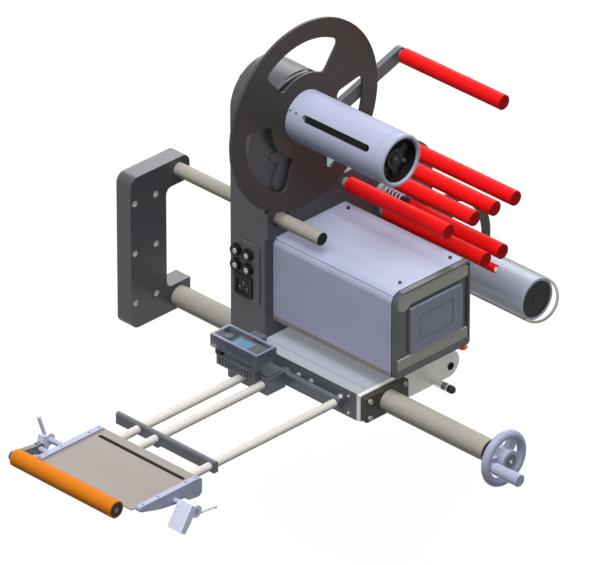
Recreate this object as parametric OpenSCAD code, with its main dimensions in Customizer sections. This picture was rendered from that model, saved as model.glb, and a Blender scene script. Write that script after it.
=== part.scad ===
// Labelling head on its two mounting shafts.
// Frame: X runs along the shafts from the side bracket to the handwheel, Y from the peel table
// towards the rewinder, Z up. The origin is on the bracket's back face, midway between the shafts.

/* [Side bracket] */
// Thickness of the side bracket along the shafts
bracket_thick = 28; // [22:1:34]
// Width of the bracket's upright
bracket_web = 68; // [60:1:76]
// Width of the bracket over its two arms
bracket_reach = 113; // [108:1:130]
// Height of each bracket arm
arm_height = 40; // [38:1:48]
// How far each arm's middle lies inside its shaft's axis
arm_shift = 2; // [0:0.5:4]
// Outer corner radius of the bracket
bracket_corner = 14; // [6:1:18]
// Spacing of the two columns of mounting holes
mount_gap_y = 40; // [30:1:46]
// Spacing of the three rows of mounting holes
mount_gap_z = 78; // [60:1:90]
// Diameter of each mounting hole
mount_bore = 9; // [6:0.5:11]

/* [Shafts] */
// Distance between the axes of the upper shaft and the lower spar
shaft_gap = 200; // [194:1:220]
// Distance of both shaft axes behind the origin
shaft_y = 64; // [62:1:68]
// Diameter of the upper shaft
upper_shaft_d = 20; // [16:1:24]
// Length of the upper shaft
upper_shaft_len = 305; // [302:1:360]
// Outer diameter of the lower spar
spar_d = 32; // [30:1:33]
// Bore of the lower spar
spar_bore = 22; // [20:0.5:24]
// Length of the lower spar
spar_len = 624; // [600:1:700]
// Diameter of the lead screw
screw_d = 14; // [12:0.5:16]
// Width of the slot and the nut's key under the spar
key_w = 8; // [6:0.5:9]
// Travel of the head towards the bracket
travel_in = 110; // [80:1:112]
// Travel of the head towards the handwheel
travel_out = 75; // [50:1:80]

/* [Handwheel] */
// Outer diameter of the handwheel
wheel_d = 82; // [78:1:100]
// Thickness of the handwheel's round rim
rim_d = 13; // [10:0.5:15]
// Diameter of the handwheel's hub
hub_d = 31; // [28:1:32]
// Diameter of the crank grip
grip_d = 18; // [14:0.5:20]
// Length of the crank grip
grip_len = 54; // [44:1:70]
// Distance of the crank grip from the wheel's axis
grip_offset = 25; // [24:0.5:27]

/* [Head housing] */
// Distance from the bracket's back to the housing's rear cover
head_x = 155; // [146:1:180]
// Thickness of the housing, cover included
head_thick = 66; // [60:1:72]
// Wall of the housing
wall = 8; // [6:0.5:9]
// Thickness of the rear cover
cover_thick = 4; // [3:0.5:6]
// Distance of the narrow front face in front of the shafts
front_drop = 26; // [24:1:30]
// Radius of the tower's round top
tower_r = 60; // [58:1:62]
// Radius of the housing's upper back corner
back_corner = 54; // [40:1:60]
// Radius of the lobe round the rewind axis
lobe_r = 46; // [42:1:50]
// Distance of the housing's back in front of the rewind axis
lobe_drop = 7; // [2:1:12]

/* [Unwinder] */
// Height of the unwind axis above the upper shaft
unwind_rise = 152; // [148:1:160]
// Diameter of the unwind disc
disc_d = 280; // [270:1:284]
// Thickness of both discs
disc_thick = 4; // [3:0.5:5]
// Diameter of the expanding mandrel
mandrel_d = 75; // [70:0.5:78]
// Length of the mandrel from the disc
mandrel_len = 180; // [170:1:200]
// Wall of the mandrel tube
mandrel_wall = 6; // [5:0.5:8]
// Width of the mandrel's serrated key
grip_key_w = 8; // [6:0.5:10]
// Length of the serrated key
grip_key_len = 116; // [100:1:122]
// Diameter of both spindles
spindle_d = 20; // [17:0.5:22]

/* [Web rollers] */
// Diameter of the web rollers
roller_d = 22; // [18:0.5:24]
// Length of the web rollers
roller_len = 188; // [170:1:200]
// Diameter of the thin edge roller
thin_roller_d = 12; // [11:0.5:14]
// Diameter of the fixed roller axles
axle_d = 8; // [6:0.5:9]
// Length of the light stubs between the housing and the rollers
stub_len = 9; // [7:0.5:12]
// Width of the dancer arm
arm_w = 20; // [16:1:24]
// Thickness of the dancer arm
arm_thick = 9; // [7:0.5:10]

/* [Rewinder] */
// Distance of the rewind axis behind the origin
rewind_y = 371; // [366:1:380]
// Height of the rewind axis above the spar
rewind_rise = 27; // [22:1:32]
// Diameter of the rewind disc
rewind_disc_d = 184; // [160:1:190]
// Diameter of the rewind core
core_d = 63; // [58:0.5:66]
// Length of the rewind core
core_len = 178; // [170:1:190]
// Wire diameter of the core's pull-out loop
wire_d = 4; // [3:0.5:5]

/* [Control box] */
// Length of the control box from the housing's face
box_len = 235; // [225:1:260]
// Width of the control box
box_w = 143; // [138:1:150]
// Height of the control box
box_h = 123; // [118:1:126]
// Height of the box's floor above the spar
box_rise = 52; // [50:1:54]
// Radius of the box's upper front edge
box_round = 16; // [8:1:22]
// Sheet thickness of the box cover
sheet = 2.5; // [1.5:0.5:3]
// Depth of the bezel round the screen
bezel_len = 9; // [8:0.5:12]
// Thickness of the plate under the box
shelf_thick = 7; // [5:0.5:8]

/* [Carriage] */
// Length of the carriage along the spar
carriage_len = 194; // [186:1:196]
// Width of the carriage across the spar
carriage_w = 67; // [66:1:72]
// Height of the carriage
carriage_h = 42; // [40:1:46]
// Length of the end plate behind the carriage's front
end_plate_len = 192; // [180:1:200]
// Thickness of the end plate
end_plate_thick = 7; // [5:0.5:9]
// Thickness of the spar flange
flange_thick = 10; // [8:0.5:12]

/* [Peel table] */
// Diameter of the three table rods
rod_d = 12; // [10:0.5:13]
// Length of the table rods
rod_len = 310; // [300:1:330]
// Outer width of the peel table
table_w = 195; // [190:1:210]
// Length of the peel table
table_len = 122; // [112:1:130]
// Thickness of the peel plate
plate_thick = 2; // [1.5:0.5:3]
// Width of the slot across the peel plate
plate_slot = 6.5; // [4:0.5:8]
// Width of the table's side bars
side_w = 9; // [7:0.5:11]
// How far the side bars stand above the plate
side_rise = 3; // [1:0.5:5]
// Height of the side bars at the back
side_h = 25; // [20:1:30]
// Length of both crossbars
bar_len = 189; // [184:1:200]
// Height of both crossbars
bar_h = 17; // [15:1:20]
// Thickness of both crossbars
bar_w = 8; // [7:0.5:10]
// Diameter of the press roller
press_d = 25; // [20:0.5:27]
// Length of the press roller
press_len = 193; // [180:1:196]

/* [Label sensor] */
// Length of the sensor housing along the shafts
sensor_len = 90; // [80:1:94]
// Width of the sensor housing
sensor_w = 38; // [34:1:40]
// Height of the sensor housing
sensor_h = 19; // [17:1:24]

/* [Clearances] */
// Radial running clearance of turning and sliding fits
run_fit = 0.08; // [0.05:0.01:0.1]
// Gap between pieces that move past each other
gap = 0.4; // [0.3:0.1:0.6]

/* [Hidden] */
$fn = 64;

// Shared heights and faces
upper_z = shaft_gap / 2;
lower_z = -shaft_gap / 2;
face_x = head_x + head_thick;
cavity_x0 = head_x + cover_thick;
cavity_x1 = face_x - wall;
front_y = shaft_y - front_drop;
back_y = rewind_y - lobe_drop;
top_z = upper_z + 20;
bottom_z = lower_z - 24;

// Pad round the upper shaft and brake plate behind the unwind disc
pad_thick = 5.5;
pad_y1 = shaft_y + 26;
pad_z1 = upper_z + 15.5;
recess_d = upper_shaft_d + 11;
recess_depth = 3;

// Bracket
bracket_y0 = -28;
arm_z = shaft_gap / 2 - arm_shift;
notch_z = arm_z - arm_height / 2;
notch_fillet = 10;
counterbore_d = mount_bore + 6;
counterbore_depth = 6;

// Connector panel
panel_x0 = head_x + cover_thick + 1;
panel_x1 = panel_x0 + 52;
panel_z0 = lower_z + 66;
panel_z1 = upper_z - 39;
panel_thick = 2;
connector_x = [panel_x0 + 10, panel_x0 + 32];
connector_z = [panel_z1 - 19, panel_z1 - 41.5];
connector_d = 16;
inlet_x0 = panel_x0 + 6;
inlet_z0 = panel_z0 + 8;
inlet_size = 34;

// Handwheel
ring_x1 = spar_len + 8;
wheel_x = ring_x1 + 17;
hub_x1 = wheel_x + 13;
rim_r = (wheel_d - rim_d) / 2;
spoke_w = 15;
spoke_thick = 7;
grip_boss = 12;
grip_z = lower_z - 2;

// Unwinder
unwind_y = front_y + tower_r;
unwind_z = upper_z + unwind_rise;
disc_x = face_x + 13;
mandrel_x = disc_x + disc_thick;
mandrel_x1 = mandrel_x + mandrel_len;
window_r0 = disc_d / 2 - 78;
window_r1 = disc_d / 2 - 28;
window_span = 77;
window_turn = 92.5;
window_corner = 9;
key_turn = 149;
key_depth = 9;
key_x = mandrel_x + 32;
key_side = 1;
slot_w = grip_key_w + 2 * key_side;
mandrel_lip = 13;
lip_round = 5;
knob_seat_x = mandrel_x1 - 13;
brake_r = 98;
brake_z = unwind_z - 40;
brake_y1 = unwind_y + 20;
brake_pivot = [unwind_y - 30, unwind_z - 56];
brake_nose = [unwind_y - 51, unwind_z - 50];
brake_foot = [unwind_y - 42, unwind_z - 92];
tooth_pitch = 4;
tooth_height = 1.2;
bearing_d = spindle_d + 16;
bearing_w = 12;
spindle_x0 = cavity_x0 + 8;

// Web path
row_z = upper_z + 5;
row_y = [324, 284, 244, 193];
pair_z = upper_z - 68;
drive_y = 299;
pinch_y = 266;
edge_y = 286;
edge_z = upper_z - 90;
roller_x = face_x + stub_len;
stub_d = 14;
dancer_pivot = [135, upper_z + 119];
dancer_end = [290, upper_z + 170];
dancer_pin_d = 12;
dancer_x = face_x + 2;
dancer_pin_x0 = cavity_x1 - 14;
dancer_collar = 6;
nip_pivot = [262, upper_z - 34];
nip_thick = 7;
nip_handle = [300, upper_z - 43];

// Rewinder
rewind_z = lower_z + rewind_rise;
rewind_x1 = mandrel_x + core_len;
loop_turn = 51;
loop_reach = core_len - 14;

// Belt drive
motor_y = 150;
motor_z = lower_z + 90;
motor_size = 57;
motor_len = 76;
motor_shaft_d = 8;
pulley_w = 12;
pulley_x = cavity_x0 + 22;
drive_pulley_x = pulley_x - pulley_w - 1;
motor_pulley_d = 30;
drive_pulley_d = 24;
rewind_pulley_d = 48;
belt_thick = 2;
belt_gap = 0.3;

// Control box
box_y0 = shaft_y - 10;
box_y1 = box_y0 + box_w;
box_z0 = lower_z + box_rise;
box_z1 = box_z0 + box_h;
bezel_x = face_x + box_len - bezel_len;
bezel_rim = 3;
recess_x = bezel_x + 5;
strip_h = 19;
screen_y0 = box_y0 + 28;
screen_y1 = box_y1 - 15;
screen_z0 = box_z0 + 22;
screen_z1 = box_z1 - 31;
knob_x = bezel_x + bezel_len / 2;
knob_y = box_y1 - 9;
knob_stem_d = 5;

// Carriage
carriage_y0 = shaft_y - 44;
carriage_y1 = carriage_y0 + carriage_w;
carriage_z0 = lower_z - carriage_h / 2;
carriage_z1 = lower_z + carriage_h / 2;
carriage_x1 = face_x + carriage_len;
flange_x = carriage_x1 + end_plate_thick;
nut_x = face_x + 70;
nut_len = 40;
pin_y = shaft_y + 96;
pin_z = lower_z - 12;

// Peel table
rod_x = [face_x + 26.5, face_x + 61, face_x + 164];
rod_y1 = carriage_y0 + 10;
rod_y0 = rod_y1 - rod_len;
bar_x = face_x - 16;
bar_z0 = lower_z + 9 - bar_h;
rear_bar_y = carriage_y0 - 5 - bar_w;
front_bar_y = shaft_y - 294;
bar_chamfer = 2;
member_len = 14;
member_h = 15;
table_x0 = face_x - 4;
table_x1 = table_x0 + table_w;
table_z = lower_z + 9;
table_y1 = shaft_y - 334;
table_y0 = table_y1 - table_len;
press_y = table_y0 - press_d / 2 - 2.5;
press_x = face_x - 24;
press_pivot_y = table_y0 + 30;
press_pivot_z = table_z - 6;
press_arm_x = press_x - 9;
press_arm_thick = 8;
right_clamp_w = 26;
right_clamp_at = [table_x1 + 16, table_y1 - 51, table_z - 12];
left_clamp_w = 10;
left_clamp_at = [table_x0 - 31 - left_clamp_w, table_y1 - 64.5, table_z - 7];
clamp_pin_d = 8;
clamp_lug_d = 18;

// Sensor
sensor_x = face_x - 17;
sensor_y0 = shaft_y - 114;
sensor_z0 = lower_z + 39;
sensor_wall = 5;
sensor_floor = 3;
block_x = face_x - 5;
block_len = 76;
block_y0 = shaft_y - 92;
block_z0 = lower_z - 13;
block_z1 = lower_z + 12;
block_pad = 32;
ledge_x = sensor_x + 2;
ledge_y = block_y0 - 12;
ledge_z = lower_z + 23;
ledge_len = 73;
groove_w = 3;
saddle_x = block_x + 16;
saddle_len = 34;
saddle_w = 18;
post_x = block_x + 20;
post_len = 22;
post_w = 12;
post_top = lower_z + 54;

// A flat outline in Y and Z, drawn out along X
module along_x(x, len) {
    translate([x, 0, 0]) rotate([90, 0, 90]) linear_extrude(height = len) children();
}

// A flat outline in X and Z, drawn out along Y
module along_y(y, len) {
    translate([0, y + len, 0]) rotate([90, 0, 0]) linear_extrude(height = len) children();
}

// A box between two corners
module block(low, high) {
    translate(low) cube(high - low);
}

// A rod along X, Y or Z
module rod_x(x, len, y, z, d) {
    translate([x, y, z]) rotate([0, 90, 0]) cylinder(d = d, h = len);
}
module rod_y(y, len, x, z, d) {
    translate([x, y + len, z]) rotate([90, 0, 0]) cylinder(d = d, h = len);
}
module rod_z(z, len, x, y, d) {
    translate([x, y, z]) cylinder(d = d, h = len);
}

// A turned piece round an axis along X; each point is [place along X, radius]
module turned(y, z, points) {
    translate([0, y, z]) rotate([0, 90, 0]) rotate_extrude()
        polygon([for (p = points) [p[1], p[0]]]);
}

// A rectangle with round corners between two corners
module round_rect(low, high, r) {
    translate(low + [r, 0]) square([high[0] - low[0] - 2 * r, high[1] - low[1]]);
    translate(low + [0, r]) square([high[0] - low[0], high[1] - low[1] - 2 * r]);
    for (x = [low[0] + r, high[0] - r], y = [low[1] + r, high[1] - r])
        translate([x, y]) circle(r = r, $fn = 32);
}

// Part of a ring, centred on the +X direction
module sector(r0, r1, span) {
    far = r1 * 2;
    intersection() {
        difference() {
            circle(r = r1, $fn = 96);
            circle(r = r0, $fn = 96);
        }
        polygon([[0, 0], far * [cos(span / 2), -sin(span / 2)], [far, 0], far * [cos(span / 2), sin(span / 2)]]);
    }
}

// A window in a disc with round corners, centred on the +X direction
module window(r0, r1, span, corner) {
    inner = asin(corner / (r0 + corner));
    outer = asin(corner / (r1 - corner));
    middle = (r0 + r1) / 2;
    sector(r0, middle, span - 2 * inner);
    sector(middle - 0.01, r1, span - 2 * outer);
    sector(r0 + corner, r1 - corner, span);
    for (side = [-1, 1]) {
        rotate(side * (span / 2 - inner)) translate([r0 + corner, 0]) circle(r = corner, $fn = 32);
        rotate(side * (span / 2 - outer)) translate([r1 - corner, 0]) circle(r = corner, $fn = 32);
    }
}

// A disc with three windows
module windowed_disc(x, y, z, d, r0, r1, span, corner, turn) {
    along_x(x, disc_thick) translate([y, z]) difference() {
        circle(d = d, $fn = 128);
        circle(d = spindle_d, $fn = 64);
        for (i = [0:2]) rotate(turn + i * 120) window(r0, r1, span, corner);
    }
}

module bracket_outline() {
    half = arm_z + arm_height / 2;
    inner_y = bracket_y0 + bracket_web;
    difference() {
        round_rect([bracket_y0, -half], [bracket_y0 + bracket_reach, half], bracket_corner);
        translate([inner_y + notch_fillet, -notch_z]) square([bracket_reach, 2 * notch_z]);
        translate([inner_y, notch_fillet - notch_z])
            square([notch_fillet + 1, 2 * (notch_z - notch_fillet)]);
        for (side = [-1, 1])
            translate([inner_y + notch_fillet, side * (notch_z - notch_fillet)])
                circle(r = notch_fillet, $fn = 32);
    }
}

module side_bracket() {
    color([0.23, 0.24, 0.25]) difference() {
        along_x(0, bracket_thick) bracket_outline();
        rod_x(-1, bracket_thick + 2, shaft_y, upper_z, upper_shaft_d);
        rod_x(-1, bracket_thick + 2, shaft_y, lower_z, spar_d);
        for (side = [-1, 1], row = [-1:1]) {
            rod_x(-1, bracket_thick + 2, side * mount_gap_y / 2, row * mount_gap_z, mount_bore);
            rod_x(bracket_thick - counterbore_depth, counterbore_depth + 1,
                side * mount_gap_y / 2, row * mount_gap_z, counterbore_d);
        }
    }
}

module upper_shaft() {
    r = upper_shaft_d / 2;
    color([0.63, 0.61, 0.57])
        turned(shaft_y, upper_z, [[0, 0], [0, r], [upper_shaft_len - 1, r], [upper_shaft_len, r - 1],
            [upper_shaft_len, 0]]);
}

module lower_spar() {
    color([0.63, 0.61, 0.57]) difference() {
        rod_x(0, spar_len, shaft_y, lower_z, spar_d);
        rod_x(-1, spar_len + 2, shaft_y, lower_z, spar_bore);
        block([nut_x - travel_in - 5, shaft_y - key_w / 2, lower_z - spar_d],
            [nut_x + nut_len + travel_out + 5, shaft_y + key_w / 2, lower_z - spar_bore / 4]);
    }
}

module spar_end_ring() {
    r = spar_d / 2;
    bore = screw_d / 2 + run_fit;
    color([0.06, 0.06, 0.06])
        turned(shaft_y, lower_z, [[spar_len - 14, bore], [spar_len - 14, spar_bore / 2],
            [spar_len, spar_bore / 2], [spar_len, r + 2], [ring_x1 - 1, r + 2], [ring_x1, r + 1],
            [ring_x1, bore]]);
}

module lead_screw() {
    r = screw_d / 2;
    color([0.7, 0.7, 0.72])
        turned(shaft_y, lower_z, [[bracket_thick + 6, 0], [bracket_thick + 6, r - 1],
            [bracket_thick + 7, r], [hub_x1 - 3, r], [hub_x1 - 3, 0]]);
}

module handwheel() {
    color([0.69, 0.71, 0.82]) {
        difference() {
            union() {
                translate([wheel_x, shaft_y, lower_z]) rotate([0, 90, 0])
                    rotate_extrude($fn = 96) translate([rim_r, 0]) circle(d = rim_d, $fn = 32);
                rod_x(ring_x1 + 1, hub_x1 - ring_x1 - 1, shaft_y, lower_z, hub_d);
                for (i = [0:2])
                    translate([wheel_x - spoke_thick / 2, shaft_y, lower_z]) rotate([i * 120 - 67, 0, 0])
                        translate([0, hub_d / 2 - 4, -spoke_w / 2])
                            cube([spoke_thick, rim_r - hub_d / 2 + 4, spoke_w]);
                rod_x(wheel_x - spoke_thick / 2 - 1, grip_boss + 1, shaft_y - grip_offset, grip_z,
                    grip_d - 5);
                rod_x(wheel_x + 1, grip_len - 5, shaft_y - grip_offset, grip_z, axle_d);
            }
            rod_x(ring_x1, hub_x1 - ring_x1 + 1, shaft_y, lower_z, screw_d);
            rod_x(hub_x1 - 2, 3, shaft_y, lower_z, hub_d - 10);
        }
    }
}

module crank_grip() {
    x0 = wheel_x - spoke_thick / 2 + grip_boss + gap;
    x1 = x0 + grip_len - 8;
    r = grip_d / 2;
    middle = x0 + grip_len * 0.42;
    bore = axle_d / 2 + run_fit;
    color([0.72, 0.74, 0.86])
        turned(shaft_y - grip_offset, grip_z, [[x0, bore], [x0, r - 0.6], [middle, r - 0.6],
            [middle, r - 1.4], [middle + 1, r - 1.4], [middle + 1, r], [x1 - 1, r], [x1, r - 1],
            [x1, 0], [x1 - 4, 0], [x1 - 4, bore]]);
}

// The housing's outline in Y and Z, drawn smaller by inset
module housing_outline(inset) {
    corner = back_corner - inset;
    translate([front_y + inset, bottom_z + inset])
        square([back_y - front_y - back_corner - inset, top_z - bottom_z - 2 * inset]);
    translate([front_y + inset, bottom_z + inset])
        square([back_y - front_y - 2 * inset, top_z - bottom_z - back_corner - inset]);
    translate([back_y - back_corner, top_z - back_corner]) circle(r = corner, $fn = 64);
    translate([front_y + inset, bottom_z + inset])
        square([2 * (tower_r - inset), unwind_z - bottom_z - inset]);
    translate([unwind_y, unwind_z]) circle(r = tower_r - inset, $fn = 96);
    translate([rewind_y, rewind_z]) circle(r = lobe_r - inset, $fn = 64);
}

module spindle_holes(x, len, d) {
    rod_x(x, len, unwind_y, unwind_z, d);
    rod_x(x, len, rewind_y, rewind_z, d);
}

// Round plate on the tower that carries the unwinder's brake lever
module brake_plate() {
    along_x(face_x - 1, pad_thick + 1) intersection() {
        translate([unwind_y, brake_z]) circle(r = brake_r, $fn = 128);
        translate([unwind_y - brake_r, brake_z - brake_r])
            square([brake_r + brake_y1 - unwind_y, 2 * brake_r]);
    }
    along_x(face_x + pad_thick - 1, 5) {
        hull() {
            translate(brake_pivot) circle(r = 10, $fn = 32);
            translate(brake_nose) circle(r = 5, $fn = 32);
        }
        hull() {
            translate(brake_pivot) circle(r = 8, $fn = 32);
            translate(brake_foot) circle(r = 10, $fn = 32);
        }
    }
}

module head_housing() {
    boss_x = cavity_x1 - 12;
    color([0.2, 0.21, 0.22]) difference() {
        union() {
            difference() {
                along_x(cavity_x0, face_x - cavity_x0) housing_outline(0);
                along_x(cavity_x0 - 1, cavity_x1 - cavity_x0 + 1) housing_outline(wall);
            }
            spindle_holes(boss_x, cavity_x1 - boss_x + 1, bearing_d + 12);
            rod_x(cavity_x0, cavity_x1 - cavity_x0 + 1, shaft_y, upper_z, upper_shaft_d + 20);
            rod_x(cavity_x0, cavity_x1 - cavity_x0 + 1, shaft_y, lower_z, spar_d + 8);
            rod_x(boss_x, cavity_x1 - boss_x + 1, drive_y, pair_z, 28);
            rod_x(boss_x, cavity_x1 - boss_x + 1, dancer_pivot[0], dancer_pivot[1], dancer_pin_d + 12);
            block([face_x - 1, front_y, box_z1 + 1], [face_x + pad_thick, pad_y1, pad_z1]);
            brake_plate();
        }
        spindle_holes(face_x - bearing_w, bearing_w + pad_thick + 1, bearing_d);
        rod_x(face_x - recess_depth, recess_depth + pad_thick + 1, shaft_y, upper_z, recess_d);
        spindle_holes(boss_x - 1, bearing_w + 12, bearing_d - 6);
        rod_x(cavity_x0 - 1, head_thick + 2, shaft_y, upper_z, upper_shaft_d + 8);
        rod_x(cavity_x0 - 1, head_thick + 2, shaft_y, lower_z, spar_d + 2 * run_fit);
        rod_x(boss_x - 1, head_thick, drive_y, pair_z, stub_d + 2 * run_fit);
        rod_x(boss_x - 1, head_thick, dancer_pivot[0], dancer_pivot[1], dancer_pin_d + 2 * run_fit);
        rod_x(cavity_x1 - 1, wall + 2, motor_y, motor_z, motor_shaft_d + 12);
    }
}

module rear_cover() {
    color([0.2, 0.21, 0.22]) difference() {
        along_x(head_x, cover_thick) housing_outline(0);
        rod_x(head_x - 1, cover_thick + 2, shaft_y, upper_z, upper_shaft_d + 8);
        rod_x(head_x - 1, cover_thick + 2, shaft_y, lower_z, spar_d + 2 * run_fit);
    }
}

module shaft_bushing() {
    r = upper_shaft_d / 2;
    bore = r + run_fit;
    front_x = face_x - recess_depth;
    color([0.75, 0.76, 0.78])
        turned(shaft_y, upper_z, [[head_x - 5, bore], [head_x - 5, r + 8], [head_x - 4, r + 9],
            [head_x, r + 9], [head_x, r + 4], [front_x, r + 4], [front_x, bore]]);
}

module spindle_bearings() {
    color([0.72, 0.74, 0.77])
        for (at = [[unwind_y, unwind_z], [rewind_y, rewind_z]])
            difference() {
                rod_x(face_x - bearing_w, bearing_w, at[0], at[1], bearing_d);
                rod_x(face_x - bearing_w - 1, bearing_w + 2, at[0], at[1], spindle_d + 2 * run_fit);
            }
}

module lead_nut() {
    color([0.72, 0.55, 0.3]) difference() {
        union() {
            rod_x(nut_x, nut_len, shaft_y, lower_z, spar_bore - 2 * run_fit);
            block([nut_x, shaft_y - key_w / 2 + run_fit, carriage_z0 + 3],
                [nut_x + nut_len, shaft_y + key_w / 2 - run_fit, lower_z - screw_d / 2 - 1]);
        }
        rod_x(nut_x - 1, nut_len + 2, shaft_y, lower_z, screw_d + 2 * run_fit);
    }
}

module connector_panel() {
    color([0.26, 0.26, 0.27]) difference() {
        along_y(front_y - panel_thick, panel_thick)
            round_rect([panel_x0, panel_z0], [panel_x1, panel_z1], 9);
        for (x = connector_x, z = connector_z) rod_y(front_y - 4, 6, x, z, connector_d - 4);
        block([inlet_x0 + 3, front_y - 4, inlet_z0 + 3],
            [inlet_x0 + inlet_size - 3, front_y + 1, inlet_z0 + inlet_size - 3]);
    }
}

module round_connectors() {
    y0 = front_y - panel_thick;
    color([0.16, 0.16, 0.17])
        for (x = connector_x, z = connector_z) difference() {
            union() {
                rod_y(y0 - 2, 2, x, z, connector_d + 3);
                rod_y(y0 - 7, 7, x, z, connector_d);
            }
            rod_y(y0 - 8, 6, x, z, connector_d - 4);
        }
}

module power_inlet() {
    y0 = front_y - panel_thick;
    x1 = inlet_x0 + inlet_size;
    z1 = inlet_z0 + inlet_size;
    middle = inlet_x0 + inlet_size / 2;
    color([0.06, 0.06, 0.06]) {
        difference() {
            along_y(y0 - 3, 3) round_rect([inlet_x0, inlet_z0], [x1, z1], 3);
            along_y(y0 - 4, 3) polygon([[inlet_x0 + 5, inlet_z0 + 4], [x1 - 5, inlet_z0 + 4],
                [x1 - 5, z1 - 12], [x1 - 10, z1 - 6], [inlet_x0 + 10, z1 - 6], [inlet_x0 + 5, z1 - 12]]);
        }
        for (place = [[-7, 9], [7, 9], [0, 17]])
            block([middle + place[0] - 1, y0 - 3, inlet_z0 + place[1]],
                [middle + place[0] + 1, y0 - 1, inlet_z0 + place[1] + 5]);
    }
}

module carriage_block() {
    color([0.66, 0.69, 0.73]) difference() {
        block([face_x, carriage_y0, carriage_z0], [carriage_x1, carriage_y1, carriage_z1]);
        rod_x(face_x - 1, carriage_len + 2, shaft_y, lower_z, spar_d + 2 * run_fit);
        block([nut_x, shaft_y - key_w / 2, carriage_z0 + 3],
            [nut_x + nut_len, shaft_y + key_w / 2, lower_z]);
        for (x = rod_x) rod_y(carriage_y0 - 1, shaft_y - spar_d / 2 - carriage_y0 - 1, x, lower_z,
            rod_d + 2 * run_fit);
        block([face_x - 1, carriage_y0 + 19, carriage_z1 - 1.2],
            [carriage_x1 + 1, carriage_y0 + 20, carriage_z1 + 1]);
    }
}

module carriage_end_plate() {
    z0 = carriage_z0 + 1;
    z1 = carriage_z1 - 1;
    r = (z1 - z0) / 2;
    far_y = carriage_y0 + end_plate_len;
    color([0.7, 0.7, 0.69]) difference() {
        along_x(carriage_x1, end_plate_thick) {
            translate([carriage_y0, z0]) square([end_plate_len - r, 2 * r]);
            translate([far_y - r, (z0 + z1) / 2]) circle(r = r, $fn = 64);
        }
        rod_x(carriage_x1 - 1, end_plate_thick + 2, shaft_y, lower_z, spar_d + 2 * run_fit);
        rod_x(carriage_x1 - 1, end_plate_thick + 2, far_y - r + 3, lower_z - 4, 9);
        rod_x(carriage_x1 - 1, end_plate_thick + 2, pin_y, pin_z, 6 + 2 * run_fit);
    }
}

module carriage_flange() {
    color([0.28, 0.26, 0.24]) difference() {
        along_x(flange_x, flange_thick)
            round_rect([shaft_y - 43, lower_z - 19], [shaft_y + 39, lower_z + 19], 3);
        rod_x(flange_x - 1, flange_thick + 2, shaft_y, lower_z, spar_d + 2 * run_fit);
    }
}

module screw_head(d) {
    difference() {
        cylinder(d = d, h = d * 0.5, $fn = 24);
        translate([0, 0, d * 0.25]) cylinder(d = d * 0.5, h = d, $fn = 6);
    }
}

module head_screws() {
    color([0.3, 0.31, 0.34]) {
        for (x = [face_x + 18, bezel_x - 14], y = [box_y0 + 30, box_y1 - 16])
            translate([x, y, box_z1]) screw_head(5);
        for (y = [shaft_y - 36, shaft_y + 32], z = [lower_z - 13, lower_z + 13])
            translate([flange_x + flange_thick, y, z]) rotate([0, 90, 0]) screw_head(7);
        for (x = [face_x + 84, face_x + 108])
            translate([x, carriage_y0, lower_z + 6]) rotate([90, 0, 0]) screw_head(7);
    }
}

module box_profile(inset) {
    low = [box_y0 + inset, box_z0];
    high = [box_y1 - inset, box_z1 - inset];
    r = box_round - inset;
    small = 6 - inset;
    translate(low) square([high[0] - low[0], high[1] - low[1] - r]);
    translate([low[0] + r, low[1]]) square([high[0] - low[0] - r - small, high[1] - low[1]]);
    translate([low[0] + r, high[1] - r]) circle(r = r, $fn = 48);
    translate([low[0] + r, low[1]]) square([high[0] - low[0] - r, high[1] - low[1] - small]);
    translate([high[0] - small, high[1] - small]) circle(r = small, $fn = 32);
}

module box_shelf() {
    color([0.76, 0.73, 0.68]) block([face_x, box_y0, box_z0 - shelf_thick], [bezel_x, box_y1, box_z0]);
}

module box_cover() {
    color([0.74, 0.75, 0.87]) difference() {
        along_x(face_x, box_len - bezel_len) box_profile(0);
        along_x(face_x - 1, box_len - bezel_len + 2) difference() {
            box_profile(sheet);
            translate([box_y0, box_z0 - 1]) square([box_w, 1]);
        }
    }
}

module box_bezel() {
    color([0.2, 0.2, 0.2]) difference() {
        along_x(bezel_x, bezel_len) union() {
            box_profile(0);
            translate([box_y0 + 6, box_z0 - shelf_thick]) square([box_w - 12, shelf_thick + 1]);
            translate([box_y0, box_z0 - shelf_thick + 6]) square([box_w, shelf_thick]);
            for (y = [box_y0 + 6, box_y1 - 6]) translate([y, box_z0 - shelf_thick + 6]) circle(r = 6, $fn = 32);
        }
        along_x(recess_x, bezel_len) {
            translate([0, bezel_rim]) intersection() {
                box_profile(bezel_rim);
                translate([box_y0, box_z0]) square([box_w, box_h - 2 * bezel_rim]);
            }
        }
        rod_z(box_z0 - shelf_thick - 1, shelf_thick + 2, knob_x, knob_y, knob_stem_d + 2 * run_fit);
    }
}

module display_strips() {
    y0 = box_y0 + bezel_rim + 0.5;
    y1 = box_y1 - bezel_rim - 0.5;
    color([0.45, 0.45, 0.43]) {
        block([recess_x, y0, box_z0 + bezel_rim + 0.5], [recess_x + 3, y1, box_z0 + bezel_rim + strip_h - 2]);
        along_x(recess_x, 3) {
            translate([y0 + 13, box_z1 - bezel_rim - strip_h - 1]) square([y1 - y0 - 17, strip_h]);
            translate([y0, box_z1 - bezel_rim - strip_h - 1]) square([y1 - y0, strip_h - 13]);
            translate([y0 + 13, box_z1 - bezel_rim - 14]) circle(r = 13, $fn = 32);
            translate([y1 - 13, box_z1 - bezel_rim - strip_h]) square([13, strip_h - 5]);
        }
    }
}

module touch_screen() {
    color([0.48, 0.5, 0.59]) difference() {
        along_x(recess_x, 4.5) round_rect([screen_y0, screen_z0], [screen_y1, screen_z1], 2);
        along_x(recess_x + 4, 1)
            round_rect([screen_y0 + 18, screen_z0 + 16], [screen_y1 - 18, screen_z1 - 16], 2);
    }
}

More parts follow.
